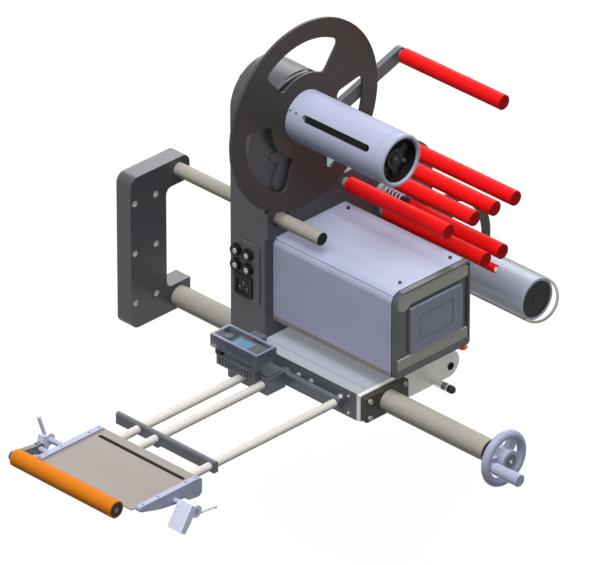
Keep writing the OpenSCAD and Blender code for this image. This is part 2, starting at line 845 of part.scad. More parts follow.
module control_board() {
    x0 = face_x + motor_len + 12;
    x1 = bezel_x - 10;
    y0 = box_y0 + 14;
    y1 = box_y1 - 14;
    z = box_z0 + 8;
    color([0.1, 0.35, 0.2]) {
        block([x0, y0, z], [x1, y1, z + 1.6]);
        for (x = [x0 + 6, x1 - 6], y = [y0 + 6, y1 - 6]) rod_z(box_z0, 8, x, y, 6);
        block([x0 + 20, y0 + 20, z + 1.6], [x0 + 50, y0 + 50, z + 12]);
        block([x0 + 62, y0 + 16, z + 1.6], [x0 + 92, y0 + 40, z + 8]);
        for (i = [0:3]) rod_z(z + 1.6, 20, x0 + 26 + i * 18, y1 - 24, 12);
    }
}

module drive_motor() {
    half = motor_size / 2;
    color([0.12, 0.12, 0.13]) difference() {
        union() {
            block([face_x, motor_y - half, motor_z - half], [face_x + 5, motor_y + half, motor_z + half]);
            block([face_x + 5, motor_y - half + 4, motor_z - half + 4],
                [face_x + motor_len, motor_y + half - 4, motor_z + half - 4]);
        }
        rod_x(face_x - 1, motor_len - 10, motor_y, motor_z, motor_shaft_d + 2 * run_fit);
    }
}

module motor_pulley() {
    color([0.7, 0.72, 0.75]) {
        rod_x(drive_pulley_x - 2, face_x + motor_len - 30 - drive_pulley_x, motor_y, motor_z,
            motor_shaft_d);
        rod_x(drive_pulley_x, pulley_x + pulley_w - drive_pulley_x, motor_y, motor_z, motor_pulley_d);
    }
}

// Outline round the motor's pulley and another one, drawn larger by extra
module round_pulleys(at, d, extra) {
    hull() {
        translate([motor_y, motor_z]) circle(d = motor_pulley_d + 2 * extra, $fn = 48);
        translate(at) circle(d = d + 2 * extra, $fn = 48);
    }
}

// One belt from the motor to the drive roller and one to the rewind core
module drive_belts() {
    color([0.08, 0.08, 0.08])
        for (belt = [[drive_pulley_x, [drive_y, pair_z], drive_pulley_d],
                [pulley_x, [rewind_y, rewind_z], rewind_pulley_d]])
            along_x(belt[0] + 1, pulley_w - 2) difference() {
                round_pulleys(belt[1], belt[2], belt_gap + belt_thick);
                round_pulleys(belt[1], belt[2], belt_gap);
            }
}

// A fixed axle with the light stub that it screws in with
module axle(y, z, d, stub) {
    rod_x(face_x, stub_len - gap, y, z, stub);
    rod_x(face_x + stub_len - gap - 1, roller_len + gap, y, z, d);
}

module roller_axles() {
    color([0.75, 0.76, 0.74]) {
        for (y = row_y) axle(y, row_z, axle_d, stub_d);
        axle(edge_y, edge_z, axle_d - 2, stub_d - 4);
        rod_x(face_x, nip_thick + 4, nip_pivot[0], nip_pivot[1], axle_d);
        rod_x(face_x + nip_thick + 2 * gap + 1, 3, nip_pivot[0], nip_pivot[1], axle_d + 5);
    }
}

module roller(y, z, d, bore, x) {
    color([0.95, 0.1, 0.1]) difference() {
        rod_x(x, roller_len, y, z, d);
        rod_x(x - 1, roller_len + 2, y, z, bore + 2 * run_fit);
    }
}

module guide_roller(i) {
    roller(row_y[i], row_z, roller_d, axle_d, roller_x);
}
module guide_roller_1() { guide_roller(0); }
module guide_roller_2() { guide_roller(1); }
module guide_roller_3() { guide_roller(2); }
module guide_roller_4() { guide_roller(3); }

module drive_roller() {
    color([0.95, 0.1, 0.1]) {
        rod_x(roller_x, roller_len, drive_y, pair_z, roller_d);
        rod_x(drive_pulley_x - 2, roller_x - drive_pulley_x + 3, drive_y, pair_z, stub_d);
        rod_x(drive_pulley_x, pulley_w, drive_y, pair_z, drive_pulley_d);
    }
}

module pinch_roller() {
    roller(pinch_y, pair_z, roller_d, axle_d, roller_x);
}

module edge_roller() {
    roller(edge_y, edge_z, thin_roller_d, axle_d - 2, roller_x);
}

module dancer_arm() {
    direction = (dancer_end - dancer_pivot) / norm(dancer_end - dancer_pivot);
    side = [-direction[1], direction[0]] * arm_w / 2;
    color([0.45, 0.47, 0.5]) {
        along_x(dancer_x, arm_thick) {
            polygon([dancer_pivot + side, dancer_pivot - side, dancer_end - side, dancer_end + side]);
            translate(dancer_pivot) circle(d = arm_w + 6, $fn = 48);
            translate(dancer_end) circle(d = arm_w, $fn = 48);
        }
        rod_x(dancer_pin_x0, dancer_x - dancer_pin_x0 + 1, dancer_pivot[0], dancer_pivot[1],
            dancer_pin_d);
        rod_x(dancer_x, arm_thick + dancer_collar - gap, dancer_end[0], dancer_end[1], stub_d);
        rod_x(dancer_x, arm_thick + dancer_collar - 1 + roller_len, dancer_end[0], dancer_end[1],
            axle_d);
    }
}

module dancer_roller() {
    roller(dancer_end[0], dancer_end[1], roller_d, axle_d, dancer_x + arm_thick + dancer_collar);
}

// Lever on a stud that swings the pinch roller against the drive roller
module nip_lever() {
    pinch = [pinch_y, pair_z];
    x = face_x + gap;
    color([0.72, 0.76, 0.82]) {
        difference() {
            along_x(x, nip_thick) {
                translate(nip_pivot) circle(r = 10, $fn = 48);
                hull() for (at = [nip_pivot, pinch]) translate(at) circle(r = 7, $fn = 32);
                hull() for (at = [nip_pivot, nip_handle]) translate(at) circle(r = 5, $fn = 32);
            }
            rod_x(x - 1, nip_thick + 2, nip_pivot[0], nip_pivot[1], axle_d + 2 * run_fit);
        }
        rod_x(x + nip_thick - 1, roller_x - gap - x - nip_thick + 1, pinch_y, pair_z, stub_d - 2);
        rod_x(x + nip_thick - 1, roller_x + roller_len - 1 - x - nip_thick, pinch_y, pair_z, axle_d);
        rod_x(x + nip_thick - 1, 16, nip_handle[0], nip_handle[1], 8);
    }
}

module unwind_disc() {
    color([0.25, 0.235, 0.225])
        windowed_disc(disc_x, unwind_y, unwind_z, disc_d, window_r0, window_r1, window_span,
            window_corner, window_turn);
}

// The key's place, turned about the unwind axis; drawn with the key on +Y
module at_key() {
    translate([0, unwind_y, unwind_z]) rotate([key_turn, 0, 0]) children();
}

module mandrel() {
    r = mandrel_d / 2;
    inner = r - mandrel_wall;
    s = spindle_d / 2;
    groove_x = mandrel_x1 - mandrel_lip;
    rim = [for (a = [0:15:90]) [mandrel_x1 - lip_round * (1 - sin(a)), r - lip_round * (1 - cos(a))]];
    color([0.72, 0.73, 0.85]) difference() {
        turned(unwind_y, unwind_z, concat(
            [[spindle_x0, 0], [spindle_x0, s], [mandrel_x, s], [mandrel_x, r], [groove_x - 1.6, r],
                [groove_x - 0.8, r - 0.9], [groove_x, r]],
            rim,
            [[mandrel_x1, inner], [mandrel_x + 10, inner], [mandrel_x + 10, s], [knob_seat_x, s],
                [knob_seat_x, 0]]));
        at_key() {
            block([key_x, inner - 4, -slot_w / 2], [key_x + grip_key_len, r + 1, slot_w / 2]);
            for (x = [key_x, key_x + grip_key_len]) rod_y(inner - 4, r - inner + 5, x, 0, slot_w);
            for (x = [mandrel_x + 4.5, mandrel_x + 15]) rod_y(r - 4, 6, x, 0, 7);
        }
    }
}

// Serrated bar that the knob pushes out against the roll's core
module expanding_key() {
    r = mandrel_d / 2;
    teeth = floor(grip_key_len / tooth_pitch);
    color([0.07, 0.07, 0.07]) at_key() translate([0, 0, -grip_key_w / 2]) linear_extrude(height = grip_key_w)
        polygon(concat(
            [[key_x, r - key_depth], [key_x, r - tooth_height]],
            [for (i = [0:teeth - 1], p = [[0.5, 0], [1, -tooth_height]])
                [key_x + (i + p[0]) * tooth_pitch, r - 0.3 + p[1]]],
            [[key_x + teeth * tooth_pitch, r - key_depth]]));
}

module mandrel_knob() {
    rim = mandrel_d / 2 - mandrel_wall - gap;
    x = knob_seat_x;
    color([0.1, 0.1, 0.1]) difference() {
        union() {
            rod_x(x - 6, 5, unwind_y, unwind_z, 2 * rim);
            rod_x(x - 2, 7, unwind_y, unwind_z, 30);
            for (i = [0:2]) translate([0, unwind_y, unwind_z]) rotate([30 + i * 120, 0, 0])
                translate([x - 2, 0, 0]) {
                    translate([0, 0, -5]) cube([6, 21, 10]);
                    translate([0, 21, 0]) rotate([0, 90, 0]) cylinder(r = 5, h = 6, $fn = 32);
                }
        }
        rod_x(x - 7, 7 + gap, unwind_y, unwind_z, spindle_d + 2 * run_fit);
    }
}

module rewind_disc() {
    color([0.22, 0.215, 0.21])
        windowed_disc(disc_x, rewind_y, rewind_z, rewind_disc_d, core_d / 2 + 8, rewind_disc_d / 2 - 14,
            84, 7, 31);
}

module rewind_core() {
    r = core_d / 2;
    s = spindle_d / 2;
    p = rewind_pulley_d / 2;
    color([0.66, 0.69, 0.73]) difference() {
        turned(rewind_y, rewind_z, [[spindle_x0, 0], [spindle_x0, s], [pulley_x, s], [pulley_x, p],
            [pulley_x + pulley_w, p], [pulley_x + pulley_w, s], [mandrel_x, s], [mandrel_x, r],
            [rewind_x1 - 1, r], [rewind_x1, r - 1], [rewind_x1, r - 4], [rewind_x1 - 3, r - 4],
            [rewind_x1 - 3, 0]]);
        translate([rewind_x1, rewind_y, rewind_z]) rotate([loop_turn, 0, 0])
            for (side = [-1, 1]) rod_x(-loop_reach - gap, loop_reach + 10, side * r, 0, wire_d + 2 * gap);
    }
}

module wire_loop() {
    r = core_d / 2;
    color([0.8, 0.8, 0.8]) translate([rewind_x1 + 2, rewind_y, rewind_z]) rotate([loop_turn, 0, 0]) {
        for (side = [-1, 1]) rod_x(-loop_reach - 2, loop_reach + 2, side * r, 0, wire_d);
        rotate(-90) rotate_extrude(angle = 180) translate([r, 0]) circle(d = wire_d, $fn = 24);
    }
}

// A crossbar with chamfered upper edges
module crossbar(y) {
    top = bar_z0 + bar_h;
    y1 = y + bar_w;
    c = bar_chamfer;
    along_x(bar_x, bar_len)
        polygon([[y, bar_z0], [y1, bar_z0], [y1, top - c], [y1 - c, top], [y + c, top], [y, top - c]]);
}

module rear_crossbar() {
    color([0.3, 0.31, 0.33]) difference() {
        union() {
            crossbar(rear_bar_y);
            for (x = rod_x) rod_y(rear_bar_y + 1, carriage_y0 - rear_bar_y - 1, x, lower_z, rod_d + 4);
        }
        for (x = rod_x) rod_y(rear_bar_y - 1, carriage_y0 - rear_bar_y + 2, x, lower_z, rod_d + 2 * run_fit);
    }
}

// Block with a grooved ledge below the sensor, a saddle under it and a post behind it
module front_block() {
    x1 = block_x + block_len;
    color([0.32, 0.33, 0.35]) difference() {
        union() {
            block([block_x, block_y0, block_z0], [x1, rear_bar_y, block_z1]);
            block([x1 - block_pad, block_y0 + 3, block_z1 - 1], [x1 - 2, rear_bar_y - 6, block_z1 + 3]);
            block([ledge_x, ledge_y, block_z1 - 4], [ledge_x + ledge_len, block_y0 + 1, ledge_z]);
            block([saddle_x, ledge_y + 4, block_z1 - 1],
                [saddle_x + saddle_len, ledge_y + 4 + saddle_w, sensor_z0 - gap]);
            block([post_x, rear_bar_y - 2 - post_w, block_z1 - 1],
                [post_x + post_len, rear_bar_y - 2, post_top]);
        }
        for (i = [0:1])
            rod_y(block_y0 - 1, rear_bar_y - block_y0 + 2, rod_x[i], lower_z, rod_d + 2 * run_fit);
        for (x = [ledge_x + 5:2 * groove_w:ledge_x + ledge_len - 7])
            block([x, ledge_y - 1, block_z1 - 2], [x + groove_w, ledge_y + 1.5, ledge_z - 2.5]);
    }
}

module table_rods() {
    color([0.85, 0.83, 0.8])
        for (x = rod_x) rod_y(rod_y0, rod_len, x, lower_z, rod_d);
}

module front_crossbar() {
    color([0.3, 0.31, 0.33]) difference() {
        union() {
            crossbar(front_bar_y);
            block([rod_x[1] - 19, front_bar_y + 1, bar_z0 - 6],
                [rod_x[1] + 3, front_bar_y + bar_w - 1, bar_z0 + 1]);
        }
        for (x = rod_x) rod_y(front_bar_y - 6, bar_w + 8, x, lower_z, rod_d);
    }
}

module peel_plate() {
    slot_y = table_y1 - member_len - plate_slot / 2 - 0.75;
    x0 = table_x0 + side_w;
    x1 = table_x1 - side_w;
    color([0.71, 0.68, 0.65]) difference() {
        union() {
            block([x0, table_y0, table_z - plate_thick], [x1, table_y1, table_z]);
            rod_x(x0, x1 - x0, table_y0, table_z - plate_thick / 2, plate_thick);
        }
        block([x0 + 10, slot_y - plate_slot / 2, table_z - plate_thick - 1],
            [x1 - 10, slot_y + plate_slot / 2, table_z + 1]);
        for (x = [x0 + 10, x1 - 10])
            rod_z(table_z - plate_thick - 1, plate_thick + 2, x, slot_y, plate_slot);
    }
}

// A side bar with a round nose, a deeper round heel and four screw holes in its top
module table_side(x) {
    top = table_z + side_rise;
    difference() {
        along_x(x, side_w) hull() {
            translate([table_y0 + 10, top - 4]) circle(r = 4, $fn = 32);
            translate([table_y0 + side_h + 20, table_z - side_h * 0.6 + 3]) circle(r = 3, $fn = 32);
            translate([table_y1 - 8, table_z - side_h + 8]) circle(r = 8, $fn = 32);
            translate([table_y1 - 5, top - 5]) circle(r = 5, $fn = 32);
        }
        for (y = [table_y1 - 8, table_y1 - 26, table_y0 + 44, table_y0 + 16])
            rod_z(top - 3, 4, x + side_w / 2, y, 3.4);
    }
}

module table_frame() {
    x0 = table_x0 + side_w;
    x1 = table_x1 - side_w;
    under = table_z - plate_thick;
    right = right_clamp_at;
    left = left_clamp_at;
    color([0.62, 0.63, 0.72]) difference() {
        union() {
            table_side(table_x0);
            table_side(table_x1 - side_w);
            block([x0 - 1, table_y1 - member_len, under - member_h], [x1 + 1, table_y1, under]);
            block([x0 - 1, table_y0 + 40, under - 6], [x1 + 1, table_y0 + 40 + member_len, under]);
            rod_x(press_arm_x, table_x0 - press_arm_x + 1, press_pivot_y, press_pivot_z, axle_d);
            rod_x(table_x1 - 1, right[0] + right_clamp_w - table_x1 + 1, right[1], right[2], clamp_pin_d);
            rod_x(left[0], table_x0 - left[0] + 1, left[1], left[2], clamp_pin_d);
        }
        for (x = rod_x) rod_y(table_y1 - member_len - 1, member_len + 2, x, lower_z, rod_d);
    }
}

module press_arm() {
    x = press_arm_x;
    direction = [press_pivot_y - press_y, press_pivot_z - table_z];
    side = [-direction[1], direction[0]] / norm(direction) * 6;
    at = [press_y, table_z];
    pivot = [press_pivot_y, press_pivot_z];
    color([0.55, 0.57, 0.62]) {
        difference() {
            along_x(x, press_arm_thick) {
                polygon([at + side, at - side, pivot - side, pivot + side]);
                translate(at) circle(r = 7, $fn = 32);
                translate(pivot) circle(r = 8, $fn = 32);
            }
            rod_x(x - 1, press_arm_thick + 2, press_pivot_y, press_pivot_z, axle_d + 2 * run_fit);
        }
        rod_x(x + press_arm_thick - 1, press_len + 1 + gap, press_y, table_z, axle_d);
    }
}

module press_roller() {
    x0 = press_arm_x + press_arm_thick + gap;
    color([0.92, 0.47, 0.1]) difference() {
        rod_x(x0, press_len, press_y, table_z, press_d);
        rod_x(x0 - 1, press_len + 2, press_y, table_z, axle_d + 2 * run_fit);
    }
}

// Swing clamp: a lug on the pin, a drilled plate and a lever rod; places are measured from the pin
module swing_clamp(at, w, tilt, holes, lever_d, lever_from, lever_to) {
    translate(at) difference() {
        union() {
            rotate([tilt, 0, 0]) {
                rotate([0, 90, 0]) cylinder(d = clamp_lug_d, h = w);
                translate([0, -14, -34]) cube([w, 10, 40]);
                translate([w * 0.15, -6, -26]) cube([w * 0.7, 8, 26]);
            }
            hull() for (end = [lever_from, lever_to]) translate(end) sphere(d = lever_d, $fn = 16);
            children();
        }
        rod_x(-1, w + 2, 0, 0, clamp_pin_d + 2 * run_fit);
        rotate([tilt, 0, 0]) for (hole = holes) rod_y(-16, 4, hole[0], hole[1], 3.4);
    }
}

module right_clamp() {
    w = right_clamp_w;
    tip = [w - 2, 36, -8];
    color([0.7, 0.72, 0.86])
        swing_clamp(right_clamp_at, w, -33, [[5, -4], [5, -12], [w - 5, -4], [w - 8, -29]], 3.5,
            [w - 3, -3, -5], tip)
            translate(tip) sphere(d = 5.5, $fn = 24);
}

module left_clamp() {
    w = left_clamp_w;
    color([0.7, 0.72, 0.86])
        swing_clamp(left_clamp_at, w, -15, [[w / 2, -4], [w / 2, -29]], 5.5, [w / 2, -4, 5],
            [w / 2, -15.5, 39]);
}

module label_sensor() {
    high = [sensor_x + sensor_len, sensor_y0 + sensor_w, sensor_z0 + sensor_h];
    color([0.5, 0.52, 0.6]) difference() {
        block([sensor_x, sensor_y0, sensor_z0], high);
        block([sensor_x + sensor_wall, sensor_y0 + sensor_wall, sensor_z0 + sensor_floor],
            high - [sensor_wall, sensor_wall, -1]);
    }
}

module sensor_core() {
    color([0.35, 0.63, 0.82]) {
        block([sensor_x + 28, sensor_y0 + sensor_wall, sensor_z0 + sensor_floor],
            [sensor_x + sensor_len - 12, sensor_y0 + sensor_w - sensor_wall, sensor_z0 + sensor_h - 5]);
        rod_z(sensor_z0 + sensor_floor, sensor_h - 7, sensor_x + 18, sensor_y0 + sensor_w / 2, 12);
    }
}

module index_pin() {
    color([0.75, 0.74, 0.7]) {
        rod_x(carriage_x1 - 6, end_plate_thick + 8, pin_y, pin_z, 6);
        rod_x(flange_x + gap, 20, pin_y, pin_z, 11);
        rod_x(flange_x + 20, 19, pin_y, pin_z, 8);
    }
}

// Push button under the bezel's corner
module stop_knob() {
    color([0.85, 0.05, 0.05]) translate([knob_x, knob_y, box_z0 - shelf_thick]) mirror([0, 0, 1]) {
        translate([0, 0, -4]) cylinder(d = knob_stem_d, h = 8);
        translate([0, 0, 3 + gap]) cylinder(d1 = 14, d2 = 12, h = 2.5);
    }
}

side_bracket();
upper_shaft();
lower_spar();
spar_end_ring();
lead_screw();
handwheel();
crank_grip();
head_housing();
rear_cover();
shaft_bushing();
spindle_bearings();
lead_nut();
connector_panel();
round_connectors();
power_inlet();
carriage_block();
carriage_end_plate();
carriage_flange();
head_screws();
box_shelf();
box_cover();
box_bezel();
display_strips();
touch_screen();
control_board();
drive_motor();
motor_pulley();
drive_belts();
roller_axles();
rear_crossbar();
front_block();
unwind_disc();
mandrel();
expanding_key();
mandrel_knob();
dancer_arm();
dancer_roller();
guide_roller_1();
guide_roller_2();
guide_roller_3();
guide_roller_4();
drive_roller();
pinch_roller();
edge_roller();
nip_lever();
rewind_disc();
rewind_core();
wire_loop();
table_rods();
front_crossbar();
peel_plate();
table_frame();
press_arm();
press_roller();
right_clamp();
left_clamp();
label_sensor();
sensor_core();
index_pin();
stop_knob();
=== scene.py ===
import math

import bmesh
import bpy
from mathutils import Matrix, Vector


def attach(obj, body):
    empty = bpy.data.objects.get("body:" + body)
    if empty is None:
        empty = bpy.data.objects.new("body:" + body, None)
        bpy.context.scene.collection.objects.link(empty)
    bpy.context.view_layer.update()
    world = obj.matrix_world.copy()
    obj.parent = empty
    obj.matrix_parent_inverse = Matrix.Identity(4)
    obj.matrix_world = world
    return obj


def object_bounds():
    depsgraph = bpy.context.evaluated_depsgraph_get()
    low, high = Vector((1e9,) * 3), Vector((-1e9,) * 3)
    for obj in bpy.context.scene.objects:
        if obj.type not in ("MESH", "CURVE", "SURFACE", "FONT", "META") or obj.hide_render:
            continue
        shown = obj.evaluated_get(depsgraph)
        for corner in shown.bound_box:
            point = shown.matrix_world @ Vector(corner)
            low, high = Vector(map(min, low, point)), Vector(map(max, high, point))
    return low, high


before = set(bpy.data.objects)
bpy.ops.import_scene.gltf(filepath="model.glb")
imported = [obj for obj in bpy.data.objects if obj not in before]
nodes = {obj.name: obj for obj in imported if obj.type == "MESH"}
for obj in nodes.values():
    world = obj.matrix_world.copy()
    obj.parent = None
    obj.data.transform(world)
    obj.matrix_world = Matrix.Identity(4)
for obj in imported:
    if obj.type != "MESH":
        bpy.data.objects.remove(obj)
cad_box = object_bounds()
MM = 0.001
WHITE = (1.0, 1.0, 1.0)
CARRIAGE_FRONT = 20  # the Y of the face that the table rods go into, in mm


# Colours and node trees

def linear(red, green, blue):
    """A colour as seen on a screen, 0 to 255, as Blender's linear values."""
    channels = [c / 255 for c in (red, green, blue)]
    return tuple(c / 12.92 if c <= 0.04045 else ((c + 0.055) / 1.055) ** 2.4 for c in channels)


def put(tree, kind, inputs=None, **settings):
    """Adds a node; an input is a plain value or another node's output."""
    made = tree.nodes.new(kind)
    for name, value in settings.items():
        setattr(made, name, value)
    for name, value in (inputs or {}).items():
        socket = made.inputs[name]
        if isinstance(value, bpy.types.NodeSocket):
            tree.links.new(value, socket)
        elif socket.type == "RGBA" and len(value) == 3:
            socket.default_value = (*value, 1)
        else:
            socket.default_value = value
    return made


def reckon(tree, operation, first, second=0.0):
    """One step of arithmetic."""
    return put(tree, "ShaderNodeMath", {0: first, 1: second}, operation=operation).outputs[0]


def spread(tree, value, low, high):
    """A value from 0 to 1, spread from low to high."""
    return put(tree, "ShaderNodeMapRange", {"Value": value, "To Min": low,
                                            "To Max": high}).outputs[0]


def mingle(tree, share, first, second):
    """Two colours mixed by a share."""
    made = put(tree, "ShaderNodeMix", {0: share, 6: first, 7: second}, data_type="RGBA")
    return made.outputs[2]


def noise(tree, place, scale, detail=2.0, rough=0.5):
    """Soft noise from 0 to 1."""
    made = put(tree, "ShaderNodeTexNoise", {"Vector": place, "Scale": scale, "Detail": detail,
                                            "Roughness": rough})
    return made.outputs["Fac"]


def new_group(name, inputs, outputs):
    """A shader node group; inputs map a name to its first value, outputs name floats."""
    group = bpy.data.node_groups.new(name, "ShaderNodeTree")
    for key, value in inputs.items():
        kind = "NodeSocketVector" if isinstance(value, tuple) else "NodeSocketFloat"
        group.interface.new_socket(key, in_out="INPUT", socket_type=kind).default_value = value
    for key in outputs:
        group.interface.new_socket(key, in_out="OUTPUT", socket_type="NodeSocketFloat")
    return group, put(group, "NodeGroupInput").outputs, put(group, "NodeGroupOutput").inputs


def surface_place(tree):
    """Where a point is on its own object, in metres."""
    return put(tree, "ShaderNodeTexCoord").outputs["Object"]


def make_handling():
    """Slow changes of tone and gloss that hands, oil and wiping leave."""
    group, given, out = new_group("handling", {"Patch Size": 0.05}, ["Tone", "Gloss"])
    place = surface_place(group)
    scale = reckon(group, "DIVIDE", 1.0, given["Patch Size"])
    slow = noise(group, place, scale, 3.0)
    fast = noise(group, place, reckon(group, "MULTIPLY", scale, 6.0), 4.0, 0.65)
    group.links.new(slow, out["Tone"])
    group.links.new(reckon(group, "MULTIPLY", slow, fast), out["Gloss"])
    return group


def make_coat_grain():
    """The fine pebble of a sprayed or moulded surface."""
    group, given, out = new_group("coat_grain", {"Grain Size": 0.0012}, ["Height"])
    place = surface_place(group)
    scale = reckon(group, "DIVIDE", 1.0, given["Grain Size"])
    pebble = put(group, "ShaderNodeTexVoronoi", {"Vector": place, "Scale": scale,
                                                 "Smoothness": 1.0}, feature="SMOOTH_F1")
    fine = noise(group, place, reckon(group, "MULTIPLY", scale, 2.0), 2.0)
    both = reckon(group, "ADD", reckon(group, "MULTIPLY", pebble.outputs["Distance"], 0.6),
                  reckon(group, "MULTIPLY", fine, 0.5))
    group.links.new(both, out["Height"])
    return group


def make_tool_lines():
    """Lines that a brush, grinder or lathe leaves; Stretch is how much finer the lines are along
    each axis, so a large number runs across the lines."""
    group, given, out = new_group("tool_lines", {"Stretch": (1.0, 1.0, 1.0), "Line Size": 0.002},
                                  ["Height", "Tone"])
    scaled = put(group, "ShaderNodeVectorMath", {0: surface_place(group), 1: given["Stretch"]},
                 operation="MULTIPLY").outputs[0]
    scale = reckon(group, "DIVIDE", 1.0, given["Line Size"])
    lines = noise(group, scaled, scale, 4.0, 0.7)
    bands = noise(group, scaled, reckon(group, "MULTIPLY", scale, 0.2), 2.0)
    group.links.new(lines, out["Height"])
    group.links.new(reckon(group, "ADD", reckon(group, "MULTIPLY", lines, 0.6),
                           reckon(group, "MULTIPLY", bands, 0.4)), out["Tone"])
    return group


# How far a rounded normal agrees with the flat one where an edge starts and where it is full

EDGE_STARTS, EDGE_FULL = 0.985, 0.8
# Scale of the patches that break up the lighter edges, which are partly wear and partly a painted
# highlight
WEAR_AND_HIGHLIGHT_PATCHES = 160.0


def make_edge_wear_and_highlight():
    """1 along edges and 0 on flat faces; the lighter edges it makes are partly wear, where a coat
    thins and metal is burnished, and partly a painted highlight.
    """
    group, given, out = new_group("edge_wear_and_highlight", {"Width": 0.0006, "Breakup": 0.5}, ["Mask"])
    round_normal = put(group, "ShaderNodeBevel", {"Radius": given["Width"]}, samples=4).outputs[0]
    flat_normal = put(group, "ShaderNodeNewGeometry").outputs["Normal"]
    same = put(group, "ShaderNodeVectorMath", {0: round_normal, 1: flat_normal},
               operation="DOT_PRODUCT").outputs["Value"]
    edge = put(group, "ShaderNodeMapRange", {"Value": same, "From Min": EDGE_STARTS,
                                             "From Max": EDGE_FULL})
    patchy = noise(group, surface_place(group), WEAR_AND_HIGHLIGHT_PATCHES, 3.0)
    kept = reckon(group, "SUBTRACT", 1.0, reckon(group, "MULTIPLY", patchy, given["Breakup"]))
    group.links.new(reckon(group, "MULTIPLY", edge.outputs[0], kept), out["Mask"])
    return group


HANDLING = make_handling()
COAT_GRAIN = make_coat_grain()
TOOL_LINES = make_tool_lines()
EDGE_WEAR_AND_HIGHLIGHT = make_edge_wear_and_highlight()


def use(tree, group, **values):
    """Places a node group; Patch_Size=... sets its input Patch Size."""
    inputs = {name.replace("_", " "): value for name, value in values.items()}
    return put(tree, "ShaderNodeGroup", inputs, node_tree=group).outputs


def bump(tree, height, strength, distance):
    return put(tree, "ShaderNodeBump", {"Height": height, "Strength": strength,
                                        "Distance": distance}).outputs["Normal"]


def material(name, **plain):
    """A material with one Principled BSDF, whose named sockets get plain values."""
    made = bpy.data.materials.new(name)
    made.use_nodes = True
    tree = made.node_tree
    shader = tree.nodes["Principled BSDF"]
    for key, value in plain.items():
        shader.inputs[key.replace("_", " ")].default_value = value
    return made, tree, shader.inputs


def toned(tree, share, colour, dark, light):
    """A colour that goes from a darker to a lighter tone of it, up to white."""
    tones = [tuple(min(1.0, c * tone) for c in colour) for tone in (dark, light)]
    return mingle(tree, share, *tones)


def dress(tree, inputs, base, shine, gloss, height, depth, reach):
    """Links a base colour, a roughness spread between two values and a bump."""
    tree.links.new(base, inputs["Base Color"])
    tree.links.new(spread(tree, shine, *gloss), inputs["Roughness"])
    tree.links.new(bump(tree, height, depth, reach), inputs["Normal"])


def coated(name, colour, edge, gloss, grain=0.0012, depth=0.03, wear_and_highlight=0.35, **plain):
    """A sprayed coat: pebbled, a little uneven, thin and lighter on its edges, which is partly
    wear and partly a painted highlight.
    """
    made, tree, inputs = material(name, **plain)
    hands = use(tree, HANDLING, Patch_Size=0.06)
    pebble = use(tree, COAT_GRAIN, Grain_Size=grain)
    rim = use(tree, EDGE_WEAR_AND_HIGHLIGHT, Width=0.0007, Breakup=0.6)
    # Lighter edge colour: partly wear, partly a painted highlight
    wear_and_highlight_edge = reckon(tree, "MULTIPLY", rim["Mask"], wear_and_highlight)
    base = mingle(tree, wear_and_highlight_edge, toned(tree, hands["Tone"], colour, 0.86, 1.12), edge)
    dress(tree, inputs, base, hands["Gloss"], (gloss - 0.06, gloss + 0.14), pebble["Height"],
          depth, 0.001)
    return made


def tooled(name, colour, gloss, stretch, line=0.002, depth=0.04, contrast=0.12, **plain):
    """Bare or anodised metal with the lines of its tool and lighter edges, partly wear and partly
    a painted highlight.
    """
    made, tree, inputs = material(name, **plain)
    lines = use(tree, TOOL_LINES, Stretch=stretch, Line_Size=line)
    hands = use(tree, HANDLING, Patch_Size=0.05)
    rim = use(tree, EDGE_WEAR_AND_HIGHLIGHT, Width=0.0005, Breakup=0.4)
    # Lighter along the edges: partly burnished wear, partly a painted highlight
    bright = tuple(min(1.0, c * 1.25) for c in colour)
    base = mingle(tree, reckon(tree, "MULTIPLY", rim["Mask"], 0.4),
                  toned(tree, lines["Tone"], colour, 1 - contrast, 1 + contrast), bright)
    both = reckon(tree, "ADD", reckon(tree, "MULTIPLY", lines["Tone"], 0.5),
                  reckon(tree, "MULTIPLY", hands["Gloss"], 0.5))
    dress(tree, inputs, base, both, (gloss - 0.08, gloss + 0.16), lines["Height"], depth, 0.0005)
    return made


def two_toned(name, axis, level, blend, below, above, gloss, stretch, line, **plain):
    """Metal with one pair of tones below a level along an axis, in mm, and another above it."""
    made, tree, inputs = material(name, **plain)
    along = put(tree, "ShaderNodeSeparateXYZ", {0: surface_place(tree)}).outputs[axis]
    past = put(tree, "ShaderNodeMapRange", {"Value": along, "From Min": level * MM,
                                            "From Max": (level + blend) * MM}).outputs[0]
    lines = use(tree, TOOL_LINES, Stretch=stretch, Line_Size=line)
    sides = [mingle(tree, lines["Tone"], *tones) for tones in (below, above)]
    dress(tree, inputs, mingle(tree, past, *sides), lines["Tone"], gloss, lines["Height"], 0.04,
          0.0005)
    return made


# How much finer a tool's lines are along X, Y and Z

ALONG_X = (0.04, 1.0, 1.0)
ALONG_Y = (1.0, 0.04, 1.0)
ROUND_X = (1.0, 0.03, 0.03)
ROUND_Y = (0.03, 1.0, 0.03)
EVERY_WAY = (1.0, 1.0, 1.0)


def dark_coat():
    return coated("dark_coat", linear(76, 78, 83), linear(124, 128, 134), 0.34, depth=0.04,
                  Specular_IOR_Level=0.42)


def brown_coat():
    return coated("brown_coat", linear(70, 66, 63), linear(120, 116, 112), 0.42, grain=0.0008,
                  Specular_IOR_Level=0.2)


def lavender_coat():
    # The near-white edge colour and the large edge share paint a highlight along the cover's
    # edges, besides a little wear
    return coated("lavender_coat", linear(181, 185, 211), linear(232, 234, 248), 0.44,
                  grain=0.0009, depth=0.03, wear_and_highlight=0.6, Specular_IOR_Level=0.1)


def lavender_alloy():
    return tooled("lavender_alloy", linear(176, 180, 206), 0.4, ROUND_X, line=0.0012,
                  contrast=0.05, Metallic=0.0, Specular_IOR_Level=0.05)


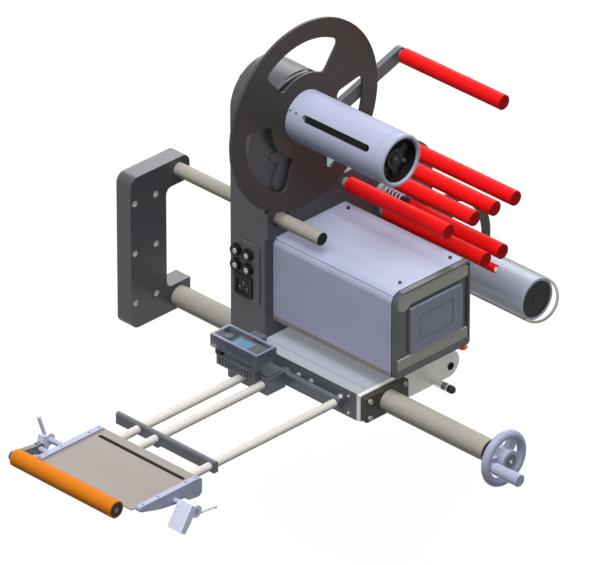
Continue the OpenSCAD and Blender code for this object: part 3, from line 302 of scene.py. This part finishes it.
def shaft_steel():
    return tooled("shaft_steel", linear(170, 165, 156), 0.36, ROUND_X, line=0.0015,
                  contrast=0.1, Metallic=0.0, Specular_IOR_Level=0.06)


def bright_steel():
    return tooled("bright_steel", linear(214, 212, 208), 0.28, ROUND_X, line=0.001,
                  contrast=0.06, Metallic=0.6)


def rod_steel():
    return tooled("rod_steel", linear(222, 217, 210), 0.32, ROUND_Y, line=0.001,
                  contrast=0.07, Metallic=0.0, Specular_IOR_Level=0.12)


def clamp_alloy():
    return tooled("clamp_alloy", linear(220, 224, 244), 0.38, EVERY_WAY, line=0.0012,
                  contrast=0.05, Metallic=0.05, Specular_IOR_Level=0.2)


def core_alloy():
    return tooled("core_alloy", linear(160, 168, 182), 0.3, ROUND_X, line=0.0012,
                  contrast=0.06, Metallic=0.12, Specular_IOR_Level=0.3)


def clear_alloy():
    return tooled("clear_alloy", linear(168, 174, 184), 0.4, ALONG_X, line=0.0015,
                  contrast=0.06, Metallic=0.05, Specular_IOR_Level=0.2)


def carriage_alloy():
    """Darker on the front face, which the table rods go into, as painted shade, and clear anodised
    behind it.
    """
    return two_toned("carriage_alloy", "Y", CARRIAGE_FRONT + 0.3, 0.5,
                     (linear(98, 102, 109), linear(108, 113, 120)),
                     (linear(162, 168, 178), linear(175, 181, 191)), (0.36, 0.5), ALONG_X, 0.0015,
                     Metallic=0.05, Specular_IOR_Level=0.2)


def key_steel():
    return tooled("key_steel", linear(20, 22, 21), 0.5, EVERY_WAY, line=0.001, contrast=0.2,
                  Specular_IOR_Level=0.1)


def pale_alloy():
    return tooled("pale_alloy", linear(236, 235, 231), 0.42, ALONG_Y, line=0.0015,
                  contrast=0.05, Metallic=0.2, Specular_IOR_Level=0.3)


def grey_alloy():
    return tooled("grey_alloy", linear(100, 103, 110), 0.42, ALONG_X, line=0.0015,
                  contrast=0.08, Metallic=0.1, Specular_IOR_Level=0.3)


def block_alloy():
    return tooled("block_alloy", linear(96, 101, 110), 0.36, ALONG_X, line=0.0015,
                  contrast=0.07, Metallic=0.05, Specular_IOR_Level=0.4)


def peel_steel():
    return tooled("peel_steel", linear(147, 139, 134), 0.46, ALONG_Y, line=0.0012,
                  contrast=0.06, Metallic=0.1, Specular_IOR_Level=0.2)


def black_steel():
    return tooled("black_steel", linear(38, 38, 41), 0.42, EVERY_WAY, line=0.0015,
                  contrast=0.12, Metallic=0.2, Specular_IOR_Level=0.25)


def wheel_enamel():
    return coated("wheel_enamel", linear(172, 176, 202), linear(225, 228, 245), 0.26,
                  grain=0.001, depth=0.02, wear_and_highlight=0.4, Specular_IOR_Level=0.3)


def screw_steel():
    """Bright screws on the carriage and blackened ones on the box, above the shafts' middle."""
    return two_toned("screw_steel", "Z", -10, 20, (linear(150, 150, 147), linear(186, 186, 182)),
                     (linear(40, 40, 43), linear(58, 58, 62)), (0.3, 0.5), EVERY_WAY, 0.001,
                     Specular_IOR_Level=0.3)


def nip_alloy():
    return tooled("nip_alloy", linear(205, 208, 222), 0.36, EVERY_WAY, line=0.0012,
                  contrast=0.06, Metallic=0.15, Specular_IOR_Level=0.3)


def bronze():
    return tooled("bronze", linear(186, 150, 92), 0.35, ROUND_X, contrast=0.1, Metallic=0.9)


def moulded(name, colour, gloss, grain=0.0007, depth=0.03, **plain):
    """Moulded plastic or film: a fine pebble and slow changes of tone."""
    made, tree, inputs = material(name, **plain)
    hands = use(tree, HANDLING, Patch_Size=0.03)
    pebble = use(tree, COAT_GRAIN, Grain_Size=grain)
    dress(tree, inputs, toned(tree, hands["Tone"], colour, 0.85, 1.12), hands["Gloss"],
          (gloss - 0.05, gloss + 0.12), pebble["Height"], depth, 0.0008)
    return made


def black_plastic():
    return moulded("black_plastic", linear(24, 24, 25), 0.45, Specular_IOR_Level=0.18)


def panel_grey():
    return moulded("panel_grey", linear(98, 98, 99), 0.45, Specular_IOR_Level=0.3)


def strip_grey():
    return moulded("strip_grey", linear(168, 168, 162), 0.5, Specular_IOR_Level=0.3)


def red_plastic():
    return moulded("red_plastic", linear(222, 40, 42), 0.3)


def blue_plastic():
    return moulded("blue_plastic", linear(98, 140, 170), 0.35)


def board_green():
    return moulded("board_green", linear(34, 96, 62), 0.4)


def rim_plastic():
    return moulded("rim_plastic", linear(134, 137, 158), 0.35, grain=0.0004, depth=0.01,
                   Specular_IOR_Level=0.3)


def screen_film():
    return moulded("screen_film", linear(128, 133, 151), 0.34, grain=0.0003, depth=0.003,
                   Specular_IOR_Level=0.35)


def smoked_clear():
    """The sensor's smoke-grey clear plastic."""
    made, tree, inputs = material("smoked_clear", Transmission_Weight=0.6, IOR=1.2, Alpha=0.84)
    hands = use(tree, HANDLING, Patch_Size=0.03)
    tree.links.new(mingle(tree, hands["Tone"], linear(116, 119, 134), linear(134, 137, 152)),
                   inputs["Base Color"])
    tree.links.new(spread(tree, hands["Gloss"], 0.08, 0.22), inputs["Roughness"])
    return made


def rubber(name, colour, gloss=0.5):
    """Ground rubber: fine rings from the grinding wheel and a soft sheen."""
    made, tree, inputs = material(name, Specular_IOR_Level=0.08)
    rings = use(tree, TOOL_LINES, Stretch=ROUND_X, Line_Size=0.0016)
    hands = use(tree, HANDLING, Patch_Size=0.04)
    dress(tree, inputs, toned(tree, rings["Tone"], colour, 0.84, 1.1), hands["Gloss"],
          (gloss - 0.05, gloss + 0.15), rings["Height"], 0.05, 0.0006)
    return made


def red_rubber():
    return rubber("red_rubber", linear(240, 24, 26))


def red_rubber_painted_shade():
    # A darker copy of red_rubber: painted shade for the rollers' end faces
    return rubber("red_rubber_painted_shade", linear(168, 14, 16))


def orange_rubber():
    return rubber("orange_rubber", linear(220, 126, 27), gloss=0.55)


def black_rubber():
    return rubber("black_rubber", linear(30, 30, 31))


FINISH = {f.__name__: f() for f in (
    dark_coat, brown_coat, lavender_coat, lavender_alloy, shaft_steel, bright_steel, rod_steel,
    clamp_alloy, core_alloy, clear_alloy, pale_alloy, grey_alloy, block_alloy, peel_steel,
    nip_alloy, wheel_enamel, screw_steel, carriage_alloy, key_steel, black_steel, bronze,
    black_plastic, panel_grey, strip_grey, red_plastic, blue_plastic, board_green, rim_plastic,
    screen_film, smoked_clear, red_rubber, red_rubber_painted_shade, orange_rubber, black_rubber)}

NODE_FINISH = {
    "dark_coat": ["side_bracket", "head_housing", "rear_cover", "box_bezel", "shaft_bushing"],
    "brown_coat": ["unwind_disc", "rewind_disc", "carriage_flange"],
    "lavender_coat": ["box_cover"],
    "lavender_alloy": ["mandrel", "table_frame"],
    "wheel_enamel": ["handwheel", "crank_grip"],
    "clamp_alloy": ["right_clamp", "left_clamp"],
    "core_alloy": ["rewind_core"],
    "shaft_steel": ["upper_shaft", "lower_spar", "lead_screw", "wire_loop"],
    "bright_steel": ["spindle_bearings", "roller_axles", "index_pin"],
    "rod_steel": ["table_rods"],
    "carriage_alloy": ["carriage_block"],
    "clear_alloy": ["motor_pulley"],
    "pale_alloy": ["carriage_end_plate"],
    "grey_alloy": ["front_crossbar", "dancer_arm"],
    "block_alloy": ["rear_crossbar", "front_block", "press_arm"],
    "peel_steel": ["peel_plate", "box_shelf"],
    "nip_alloy": ["nip_lever"],
    "screw_steel": ["head_screws"],
    "black_steel": ["drive_motor"],
    "key_steel": ["expanding_key"],
    "bronze": ["lead_nut"],
    "black_plastic": ["spar_end_ring", "round_connectors", "power_inlet", "mandrel_knob"],
    "panel_grey": ["connector_panel"],
    "strip_grey": ["display_strips"],
    "red_plastic": ["stop_knob"],
    "blue_plastic": ["sensor_core"],
    "board_green": ["control_board"],
    "screen_film": ["touch_screen"],
    "smoked_clear": ["label_sensor"],
    "red_rubber": ["dancer_roller", "guide_roller_1", "guide_roller_2", "guide_roller_3",
                   "guide_roller_4", "drive_roller", "pinch_roller", "edge_roller"],
    "orange_rubber": ["press_roller"],
    "black_rubber": ["drive_belts"],
}


# Edges of the CAD solids and of the added pieces

def smooth_tree():
    """Drops the loaded normals and smooths every edge that bends less than SHARP_BEND."""
    tree = bpy.data.node_groups.new("smooth_small_bends", "GeometryNodeTree")
    tree.interface.new_socket("Geometry", in_out="INPUT", socket_type="NodeSocketGeometry")
    tree.interface.new_socket("Geometry", in_out="OUTPUT", socket_type="NodeSocketGeometry")
    given = put(tree, "NodeGroupInput").outputs["Geometry"]
    bare = put(tree, "GeometryNodeRemoveAttribute", {"Geometry": given, "Name": "custom_normal"})
    smooth = put(tree, "GeometryNodeSetShadeSmooth", {"Geometry": bare.outputs[0]})
    angle = put(tree, "GeometryNodeInputMeshEdgeAngle").outputs["Unsigned Angle"]
    sharp = put(tree, "FunctionNodeCompare", {"A": angle, "B": SHARP_BEND},
                operation="GREATER_THAN").outputs[0]
    edges = put(tree, "GeometryNodeSetShadeSmooth", {"Geometry": smooth.outputs[0],
                                                     "Selection": sharp, "Shade Smooth": False},
                domain="EDGE")
    tree.links.new(edges.outputs[0], put(tree, "NodeGroupOutput").inputs["Geometry"])
    return tree


SHARP_BEND = math.radians(32)
FLAT_BEND = math.radians(0.4)
WELD_GAP = 0.01 * MM
PLAIN_BEVEL = 0.35
SMOOTH_TREE = smooth_tree()
NO_BEVEL = {"drive_belts", "wire_loop", "head_screws", "expanding_key"}
WIDE_BEVEL = {"side_bracket": 0.9, "head_housing": 0.8, "carriage_block": 0.7, "box_cover": 0.6,
              "box_bezel": 0.6, "mandrel": 0.5, "connector_panel": 0.6}


def break_edges(node, width):
    """Small round chamfers, width in mm, on sharp edges, as machined and folded parts have."""
    weld = node.modifiers.new("weld", "WELD")
    weld.merge_threshold = WELD_GAP
    smooth = node.modifiers.new("smooth", "NODES")
    smooth.node_group = SMOOTH_TREE
    if width > 0:
        flat = node.modifiers.new("flat", "DECIMATE")
        flat.decimate_type = "DISSOLVE"
        flat.angle_limit = FLAT_BEND
        bevel = node.modifiers.new("bevel", "BEVEL")
        bevel.width = width * MM
        bevel.segments = 2
        bevel.limit_method = "ANGLE"
        bevel.angle_limit = SHARP_BEND
        bevel.harden_normals = True
        bevel.use_clamp_overlap = True


for finish_name, node_names in NODE_FINISH.items():
    for node_name in node_names:
        node = nodes[node_name]
        node.data.materials.clear()
        node.data.materials.append(FINISH[finish_name])
        width = WIDE_BEVEL.get(node_name, PLAIN_BEVEL)
        break_edges(node, 0 if node_name in NO_BEVEL else width)


# Shapes of the added pieces; sizes are in millimetres

AXES = {"x": (1, 0, 0), "-x": (-1, 0, 0), "y": (0, 1, 0), "-y": (0, -1, 0), "z": (0, 0, 1)}


def new_object(name, data):
    made = bpy.data.objects.new(name, data)
    bpy.context.scene.collection.objects.link(made)
    return made


def new_mesh(name, form):
    mesh = bpy.data.meshes.new(name)
    form.to_mesh(mesh)
    form.free()
    return mesh


def add_piece(name, body, finish, form, place=None, bevel=0.12):
    """A piece from a bmesh, with its finish, that rides on a body."""
    bmesh.ops.recalc_face_normals(form, faces=form.faces)
    mesh = new_mesh(name, form)
    made = new_object(name, mesh)
    if place is not None:
        made.matrix_world = place
    mesh.materials.append(FINISH[finish])
    break_edges(made, bevel)
    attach(made, body)
    return made


def bridge(form, one, two):
    """Faces between two closed rows of points; a row of one point makes a fan."""
    for i in range(max(len(one), len(two))):
        corners = [one[i % len(one)], one[(i + 1) % len(one)], two[(i + 1) % len(two)],
                   two[i % len(two)]]
        form.faces.new(list(dict.fromkeys(corners)))


def turned(name, body, finish, at, axis, profile, sides=40, closed=False, bevel=0.12):
    """A turned piece; profile is (distance along the axis, radius) from the point at."""
    form = bmesh.new()
    rows = []
    for along, radius in profile:
        turns = [2 * math.pi * i / sides for i in range(sides if radius else 1)]
        rows.append([form.verts.new((along * MM, radius * MM * math.cos(a),
                                     radius * MM * math.sin(a))) for a in turns])
    for one, two in zip(rows, rows[1:]):
        bridge(form, one, two)
    if closed:
        bridge(form, rows[-1], rows[0])
    turn = Vector(AXES["x"]).rotation_difference(Vector(AXES[axis])).to_matrix().to_4x4()
    place = Matrix.Translation(Vector(at) * MM) @ turn
    return add_piece(name, body, finish, form, place, bevel)


def prism(name, body, finish, axis, low, high, outline, hole=None, bevel=0.2):
    """An outline drawn across an axis and extruded from low to high; a hole has as many points."""
    form = bmesh.new()

    def row(line, level):
        spots = {"x": lambda u, v: (level, u, v), "y": lambda u, v: (u, level, v),
                 "z": lambda u, v: (u, v, level)}[axis]
        return [form.verts.new(Vector(spots(u, v)) * MM) for u, v in line]

    outer = [row(outline, low), row(outline, high)]
    bridge(form, *outer)
    if hole:
        inner = [row(hole, low), row(hole, high)]
        bridge(form, *inner)
        bridge(form, outer[0], inner[0])
        bridge(form, outer[1], inner[1])
    else:
        form.faces.new(outer[0])
        form.faces.new(outer[1])
    return add_piece(name, body, finish, form, None, bevel)


def rounded(low, high, radii, steps=5):
    """A rectangle with round corners: low left, low right, high right, high left."""
    if not isinstance(radii, tuple):
        radii = (radii,) * 4
    spots = ((low[0], low[1], 1, 1, 180), (high[0], low[1], -1, 1, 270),
             (high[0], high[1], -1, -1, 0), (low[0], high[1], 1, -1, 90))
    line = []
    for (u, v, right, up, start), r in zip(spots, radii):
        for i in range(steps + 1):
            a = math.radians(start + 90 * i / steps)
            line.append((u + right * r + r * math.cos(a), v + up * r + r * math.sin(a)))
    return line


def coil(name, body, finish, at, radius, wire, length, turns):
    """A coil spring round the X axis through the point at."""
    around_turn, around_wire = 20, 10
    form = bmesh.new()
    rows = []
    for i in range(turns * around_turn + 1):
        a = 2 * math.pi * i / around_turn
        out = Vector((0, math.cos(a), math.sin(a)))
        middle = Vector((length * i / (turns * around_turn), 0, 0)) + radius * out
        ring = [2 * math.pi * k / around_wire for k in range(around_wire)]
        rows.append([form.verts.new((middle + wire / 2 * (math.cos(b) * out + math.sin(b)
                                                          * Vector(AXES["x"]))) * MM)
                     for b in ring])
    for one, two in zip(rows, rows[1:]):
        bridge(form, one, two)
    form.faces.new(rows[0])
    form.faces.new(rows[-1])
    return add_piece(name, body, finish, form, Matrix.Translation(Vector(at) * MM), 0)


def cap_screw(name, body, at, axis, width, finish="black_steel"):
    """A socket cap screw's head."""
    r = width / 2
    tall = width * 0.55
    profile = [(-0.3, 0), (-0.3, r), (tall - 0.4, r), (tall, r - 0.4), (tall, r * 0.52),
               (tall * 0.45, r * 0.46), (tall * 0.45, 0)]
    return turned(name, body, finish, at, axis, profile, sides=24, bevel=0)


# Added pieces

SHAFT_Y, UPPER_Z, LOWER_Z = 64, 100, -100
SHAFT_END, SPAR_END = 305, 661
REEL_Y, REEL_Z, REEL_END = 98, 252, 418
KNOB_FACE, LOBE_FACE, LOBE_R = 410, 404, 24
CORE_Y, CORE_Z, CORE_END = 371, -73, 416
ROLLER_END = 418
ROLLERS = {"guide_1": (ROLLER_END, 324, 105, 11), "guide_2": (ROLLER_END, 284, 105, 11),
           "guide_3": (ROLLER_END, 244, 105, 11), "guide_4": (ROLLER_END, 193, 105, 11),
           "pinch": (ROLLER_END, 266, 32, 11), "traction": (ROLLER_END, 299, 32, 12),
           "dancer_wheel": (426, 290, 270, 11)}
EDGE_AT = (ROLLER_END, 286, 10)
PRESS_AT = (389.4, -407, -91)
SOCKET_FACE, INLET_FACE = 34, 33.4
SOCKETS = ((170, 42), (192, 42), (170, 19.5), (192, 19.5))
INLET_SLOTS = ((176, -17), (190, -17), (183, -9))
BOX_START, BOX_END, SCREEN_FACE = 221.5, 446.5, 455.8
LID_MIDDLE = Vector((58, 69.58))
LID_OUT, LID_ALONG = Vector((-0.75, 0.661)), Vector((0.661, 0.75))
ROD_CLAMP_AT = (391, 13.5, -91)
END_PLATE_X, END_PLATE_LEVELS = 400.4, (-88, -114)
SENSOR_TOP, SENSOR_INSIDE = -42.1, -47.1
POST_AT = (222, -31, -46)
NIP_Y, NIP_Z, NIP_FACE = 262, 66, 230.2
BUSH_AT = (415, 195, -104)
PLATE_UNDER = -93
MOUNT_FACE, MOUNT_COLUMNS, MOUNT_ROWS = 22, (-20, 20), (-78, 0, 78)
PIN_Y, PIN_Z = 160, -112
COVER_FACE = 155
COVER_SCREWS = ((46, -114), (46, -40), (46, 40), (46, 130), (46, 215), (62, 292), (98, 304),
                (134, 292), (150, 215), (150, 130), (225, 112), (300, 112), (352, 70), (352, 0),
                (330, -112), (230, -116), (130, -116))


def shaft_plug():
    turned("shaft_plug", "stand", "black_plastic", (SHAFT_END, SHAFT_Y, UPPER_Z),
           "x", [(-0.6, 0), (-0.6, 9.3), (0.6, 9.3), (1.1, 8.8), (1.1, 5.4), (0.4, 4.8), (0.4, 0)])


def core_plug():
    turned("core_plug", "rewinder", "black_plastic",
           (CORE_END - 3, CORE_Y, CORE_Z), "x",
           [(0, 0), (0, 27.2), (2.1, 27.2), (2.6, 26.7), (2.6, 23), (2.0, 22.4), (2.0, 7),
            (2.7, 6.6), (2.7, 0)], sides=64)


def mandrel_mouth():
    """The black liner in the mandrel's end, painted shade that darkens its inside, and the turned
    lip round it.
    """
    at = (REEL_END, REEL_Y, REEL_Z)
    # The liner is painted shade: it makes the mandrel's inside dark
    turned("mandrel_shade_liner", "unwinder", "black_plastic", at, "x",
           [(-13.9, 31.45), (-0.9, 31.45), (-0.5, 31.1), (-0.5, 30.4), (-13.9, 30.0)], sides=96,
           closed=True)
    turned("mandrel_lip", "unwinder", "wheel_enamel", at, "x",
           [(-4, 37.45), (-4, 37.8), (-0.5, 38), (1.4, 37.4), (2.5, 36.2), (2.9, 34.6), (2.4, 33),
            (1, 31.9), (-0.2, 31.6)], sides=96, closed=True)


def knob_trim():
    centre = (KNOB_FACE, REEL_Y, REEL_Z)
    turned("knob_cap", "knob", "black_plastic", centre, "x",
           [(-0.3, 0), (-0.3, 9), (0.9, 9), (1.4, 8.5), (1.4, 4), (0.6, 3.4), (0.6, 0)])
    turned("knob_centre", "knob", "grey_alloy", centre, "x",
           [(0.4, 0), (0.4, 2.6), (1.5, 2.6), (1.9, 2.2), (1.9, 0)], sides=24)
    for i in range(3):
        a = math.radians(90 + 120 * i)
        spot = (LOBE_FACE, REEL_Y + LOBE_R * math.cos(a), REEL_Z + LOBE_R * math.sin(a))
        cap_screw(f"knob_screw_{i + 1}", "knob", spot, "x", 5.5, "grey_alloy")


def roller_caps():
    # End caps over the axles, in a darker red that is painted shade on the end faces
    for body, (x, y, z, r) in ROLLERS.items():
        turned(f"{body}_cap", body, "red_rubber_painted_shade", (x, y, z), "x",
               [(-0.4, 0), (-0.4, r - 1), (0.4, r - 1), (0.9, r - 1.6), (0.9, r * 0.45),
                (0.5, r * 0.4), (0.5, 0)])
    turned("edge_end", "edge", "bright_steel", EDGE_AT, "x",
           [(-0.3, 0), (-0.3, 3.6), (0.9, 3.6), (1.3, 3.2), (1.3, 1.6), (0.7, 1.2), (0.7, 0)])


def press_roller_end():
    turned("press_bearing", "press_wheel", "black_plastic", PRESS_AT, "x",
           [(-0.4, 4.4), (-0.4, 10.4), (0.5, 10.4), (0.9, 10), (0.9, 5.2), (0.4, 4.4)],
           closed=True)


def socket_parts():
    for i, (x, z) in enumerate(SOCKETS):
        at = (x, SOCKET_FACE, z)
        turned(f"socket_{i + 1}_ring", "head", "grey_alloy", at, "-y",
               [(0, 5.85), (4.2, 5.85), (4.2, 5.1), (0, 5.1)], closed=True)
        turned(f"socket_{i + 1}_insert", "head", "bright_steel", at, "-y",
               [(0, 0), (0, 3.5), (3.6, 3.5), (4, 3.1), (4, 1.5), (2.6, 1.3), (2.6, 0)], sides=32)
        turned(f"socket_{i + 1}_pin", "head", "black_plastic", at, "-y",
               [(2.4, 0), (2.4, 0.9), (4.2, 0.9), (4.6, 0.5), (4.6, 0)], sides=16)


def inlet_blades():
    for i, (x, z) in enumerate(INLET_SLOTS):
        prism(f"inlet_blade_{i + 1}", "head", "shaft_steel", "y", INLET_FACE,
              INLET_FACE + 1.8, rounded((x - 1.2, z - 0.3), (x + 1.2, z + 5.3), 0.5), bevel=0.15)


def box_gasket():
    prism("box_gasket", "head", "black_rubber", "x", BOX_END, BOX_END + 1,
          rounded((53.75, -55.25), (197.25, 75.25), (6, 6, 6, 16), 8),
          rounded((55.5, -53.5), (195.5, 73.5), (5, 5, 5, 14.5), 8), bevel=0.1)


def lid_seam():
    """The joint between the cover's side and its lid, low on the round corner."""
    line = [LID_MIDDLE + side * LID_ALONG + out * LID_OUT
            for side, out in ((-0.35, -0.3), (0.35, -0.3), (0.35, 0.12), (-0.35, 0.12))]
    prism("lid_seam", "head", "black_rubber", "x", BOX_START, BOX_END - 0.1,
          [tuple(point) for point in line], bevel=0.04)


def screen_line():
    prism("screen_line", "head", "black_plastic", "x", SCREEN_FACE,
          SCREEN_FACE + 0.5, rounded((100, -10), (164, 28), 2),
          rounded((100.7, -9.3), (163.3, 27.3), 1.4), bevel=0.05)


def carriage_screws():
    cap_screw("rod_clamp_screw", "head", ROD_CLAMP_AT, "z", 7, "bright_steel")
    for i, z in enumerate(END_PLATE_LEVELS):
        cap_screw(f"end_plate_screw_{i + 1}", "head", (END_PLATE_X, CARRIAGE_FRONT, z), "-y", 4,
                  "bright_steel")


def sensor_trim():
    prism("sensor_rim", "sensor", "rim_plastic", "z", SENSOR_TOP,
          SENSOR_TOP + 0.8, rounded((204.3, -49.7), (293.7, -12.3), 2),
          rounded((208.2, -45.8), (289.8, -16.2), 1.5))
    prism("sensor_foot", "sensor", "black_steel", "y", -42, -20,
          rounded((205.5, -75.5), (216.5, -60.9), 1.5), bevel=0.4)
    prism("sensor_mask", "sensor", "panel_grey", "z", SENSOR_INSIDE,
          SENSOR_INSIDE + 0.7, rounded((232.1, -44.8), (281.9, -17.2), 0.5),
          rounded((234.5, -39.5), (264, -21), 1))
    turned("sensor_post", "sensor", "panel_grey", POST_AT, "z",
           [(-0.3, 0), (-0.3, 6.2), (0.5, 6.2), (0.9, 5.8), (0.9, 2), (0.4, 1.6), (0.4, 0)])


def nip_spring():
    turned("nip_stud", "head", "black_steel", (NIP_FACE, NIP_Y, NIP_Z), "x",
           [(0, 0), (0, 4.4), (38, 4.4), (38, 6.6), (41.4, 6.6), (42, 6), (42, 0)])
    coil("nip_coil", "head", "nip_alloy", (NIP_FACE + 2.4, NIP_Y, NIP_Z), 7, 3.2,
         33.6, 5)


def plate_bush():
    turned("plate_bush", "head", "black_rubber", BUSH_AT, "x",
           [(-0.6, 3.1), (-0.6, 4.45), (7.1, 4.45), (7.1, 5.8), (8, 5.8), (8.4, 5.4), (8.4, 3.1)],
           closed=True)


def hub_end():
    at = (SPAR_END, SHAFT_Y, LOWER_Z)
    turned("wheel_nut", "handwheel", "block_alloy", at, "x",
           [(-0.3, 2.4), (-0.3, 10.3), (0.9, 10.3), (1.3, 9.9), (1.3, 7), (0.8, 6.6), (0.8, 4),
            (1.5, 3.4), (1.5, 2.4)], closed=True)
    turned("screw_tip", "handwheel", "bright_steel", at, "x",
           [(-0.3, 0), (-0.3, 2.3), (2.2, 2.3), (2.6, 1.9), (2.6, 0)], sides=24)


def bracket_bushes():
    """A dark flanged bush in each mounting hole, bored bright to the hole's own size."""
    for column, y in zip("ab", MOUNT_COLUMNS):
        for row, z in enumerate(MOUNT_ROWS):
            name = f"{column}{row + 1}"
            at = (MOUNT_FACE, y, z)
            turned(f"mount_bush_{name}", "stand", "dark_coat", at, "x",
                   [(0.05, 4.5), (0.05, 7.3), (5.6, 7.3), (5.9, 7), (5.9, 4.5)], closed=True)
            turned(f"mount_bore_{name}", "stand", "bright_steel", at, "x",
                   [(-20, 4.45), (5.95, 4.45), (6.05, 4.3), (5.95, 4.1), (-20, 4.1)], sides=32,
                   closed=True, bevel=0)


def pin_sleeve():
    """The index pin's sleeve, ring and cap, in the order in which they sit on it."""
    turned("pin_sleeve", "index", "grey_alloy", (442.6, PIN_Y, PIN_Z), "x",
           [(0, 4.05), (0, 5.5), (7.6, 5.5), (8, 5.1), (8, 4.05)], closed=True)
    turned("pin_ring", "index", "bright_steel", (450.8, PIN_Y, PIN_Z), "x",
           [(0, 4.05), (0, 5.3), (0.4, 5.7), (2.2, 5.7), (2.6, 5.3), (2.6, 4.05)], closed=True)
    turned("pin_cap", "index", "black_steel", (453.6, PIN_Y, PIN_Z), "x",
           [(0, 4.05), (0, 5.7), (5.6, 5.7), (8, 5), (9.4, 3.6), (10, 1.6), (10.1, 0)])


def slot_shade_strip():
    """A black rubber strip under the peel plate's slot, painted shade that makes the slot look
    dark.
    """
    prism("slot_shade_strip", "table", "black_rubber", "z", PLATE_UNDER - 2.4,
          PLATE_UNDER - 0.05, rounded((231, -292.5), (398, -284.1), 1), bevel=0.1)


def cover_screws():
    for i, (y, z) in enumerate(COVER_SCREWS):
        cap_screw(f"cover_screw_{i + 1}", "head", (COVER_FACE, y, z), "-x", 6.5)


for make in (shaft_plug, core_plug, mandrel_mouth, knob_trim, roller_caps, press_roller_end,
             socket_parts, inlet_blades, box_gasket, lid_seam, screen_line, carriage_screws,
             sensor_trim, hub_end, bracket_bushes, pin_sleeve, nip_spring, plate_bush, slot_shade_strip,
             cover_screws):
    make()


# Camera, light and floor; sizes are in metres, turn and rise in degrees

VIEW_AT = Vector((317.9, 8.9, 60)) * MM
LENS_MM, FILM_MM = 600, 36
SKY_LOW, SKY_HIGH = 0.04, 0.4
FLOOR_HALF, FLOOR_DROP = 30.0, 0.25
FLOOR_TONE = 0.1
GLOW_NEAR, GLOW_FAR = 0.9, 1.0
NEAR_END, FAR_START = 2.0, 8.0


def aim(made, turn, rise, far):
    """Puts a camera or a lamp round the middle of the part and turns it to look there."""
    turn, rise = math.radians(turn), math.radians(rise)
    back = Vector((math.cos(rise) * math.sin(turn), -math.cos(rise) * math.cos(turn),
                   math.sin(rise)))
    made.location = VIEW_AT + far * back
    made.rotation_euler = (-back).to_track_quat("-Z", "Y").to_euler()


def camera():
    lens = bpy.data.cameras.new("camera")
    lens.lens = LENS_MM
    lens.sensor_width = FILM_MM
    lens.clip_end = 100
    made = new_object("camera", lens)
    aim(made, turn=45, rise=29.67, far=13.5)
    bpy.context.scene.camera = made


def lamp(name, turn, rise, size, power):
    """A soft square lamp."""
    light = bpy.data.lights.new(name, "AREA")
    light.shape = "SQUARE"
    light.size = size
    light.energy = power
    aim(new_object(name, light), turn, rise, far=6.0)
    return light


def lamps():
    """Two lamps high on the camera's side, one without shadows, and a weaker one behind."""
    lamp("key_lamp", turn=37, rise=72, size=4.0, power=235)
    lamp("fill_lamp", turn=37, rise=72, size=4.0, power=225).use_shadow = False
    lamp("back_lamp", turn=225, rise=30, size=3.5, power=120)


def seen_rays(tree):
    """1 for rays from the camera, a mirror or glass, and 0 for light."""
    path = put(tree, "ShaderNodeLightPath").outputs
    rays = reckon(tree, "MAXIMUM", path["Is Camera Ray"], path["Is Glossy Ray"])
    return reckon(tree, "MAXIMUM", rays, path["Is Transmission Ray"])


def bare_tree(owner):
    """The owner's node tree, emptied."""
    owner.use_nodes = True
    owner.node_tree.nodes.clear()
    return owner.node_tree


def sky():
    """White to the camera; as a light it is dim at the horizon and strong overhead."""
    world = bpy.data.worlds.new("sky")
    bpy.context.scene.world = world
    tree = bare_tree(world)
    up = put(tree, "ShaderNodeSeparateXYZ",
             {0: put(tree, "ShaderNodeTexCoord").outputs["Generated"]}).outputs["Z"]
    ambient = put(tree, "ShaderNodeBackground", {"Color": WHITE,
                                                 "Strength": spread(tree, up, SKY_LOW, SKY_HIGH)})
    white = put(tree, "ShaderNodeBackground", {"Color": WHITE, "Strength": 1.0})
    mixed = put(tree, "ShaderNodeMixShader", {0: seen_rays(tree), 1: ambient.outputs[0],
                                              2: white.outputs[0]})
    put(tree, "ShaderNodeOutputWorld", {"Surface": mixed.outputs[0]})


def floor_paint():
    """White to the camera but for the part's shadow, and as white as the sky far away."""
    paint = bpy.data.materials.new("floor")
    tree = bare_tree(paint)
    away = put(tree, "ShaderNodeVectorMath", {0: surface_place(tree)}, operation="LENGTH")
    whiter = put(tree, "ShaderNodeMapRange", {"Value": away.outputs["Value"],
                                              "From Min": NEAR_END, "From Max": FAR_START,
                                              "To Min": GLOW_NEAR, "To Max": GLOW_FAR})
    seen = reckon(tree, "MULTIPLY", seen_rays(tree), whiter.outputs[0])
    matt = put(tree, "ShaderNodeBsdfDiffuse", {"Color": (FLOOR_TONE,) * 3})
    glow = put(tree, "ShaderNodeEmission", {"Color": WHITE, "Strength": seen})
    both = put(tree, "ShaderNodeAddShader", {0: matt.outputs[0], 1: glow.outputs[0]})
    put(tree, "ShaderNodeOutputMaterial", {"Surface": both.outputs[0]})
    return paint


def floor():
    form = bmesh.new()
    level = cad_box[0][2] - FLOOR_DROP
    form.faces.new([form.verts.new((x * FLOOR_HALF, y * FLOOR_HALF, level))
                    for x, y in ((-1, -1), (1, -1), (1, 1), (-1, 1))])
    mesh = new_mesh("floor", form)
    mesh.materials.append(floor_paint())
    new_object("floor", mesh)


camera()
sky()
floor()
lamps()
bpy.context.scene.view_settings.view_transform = "Standard"
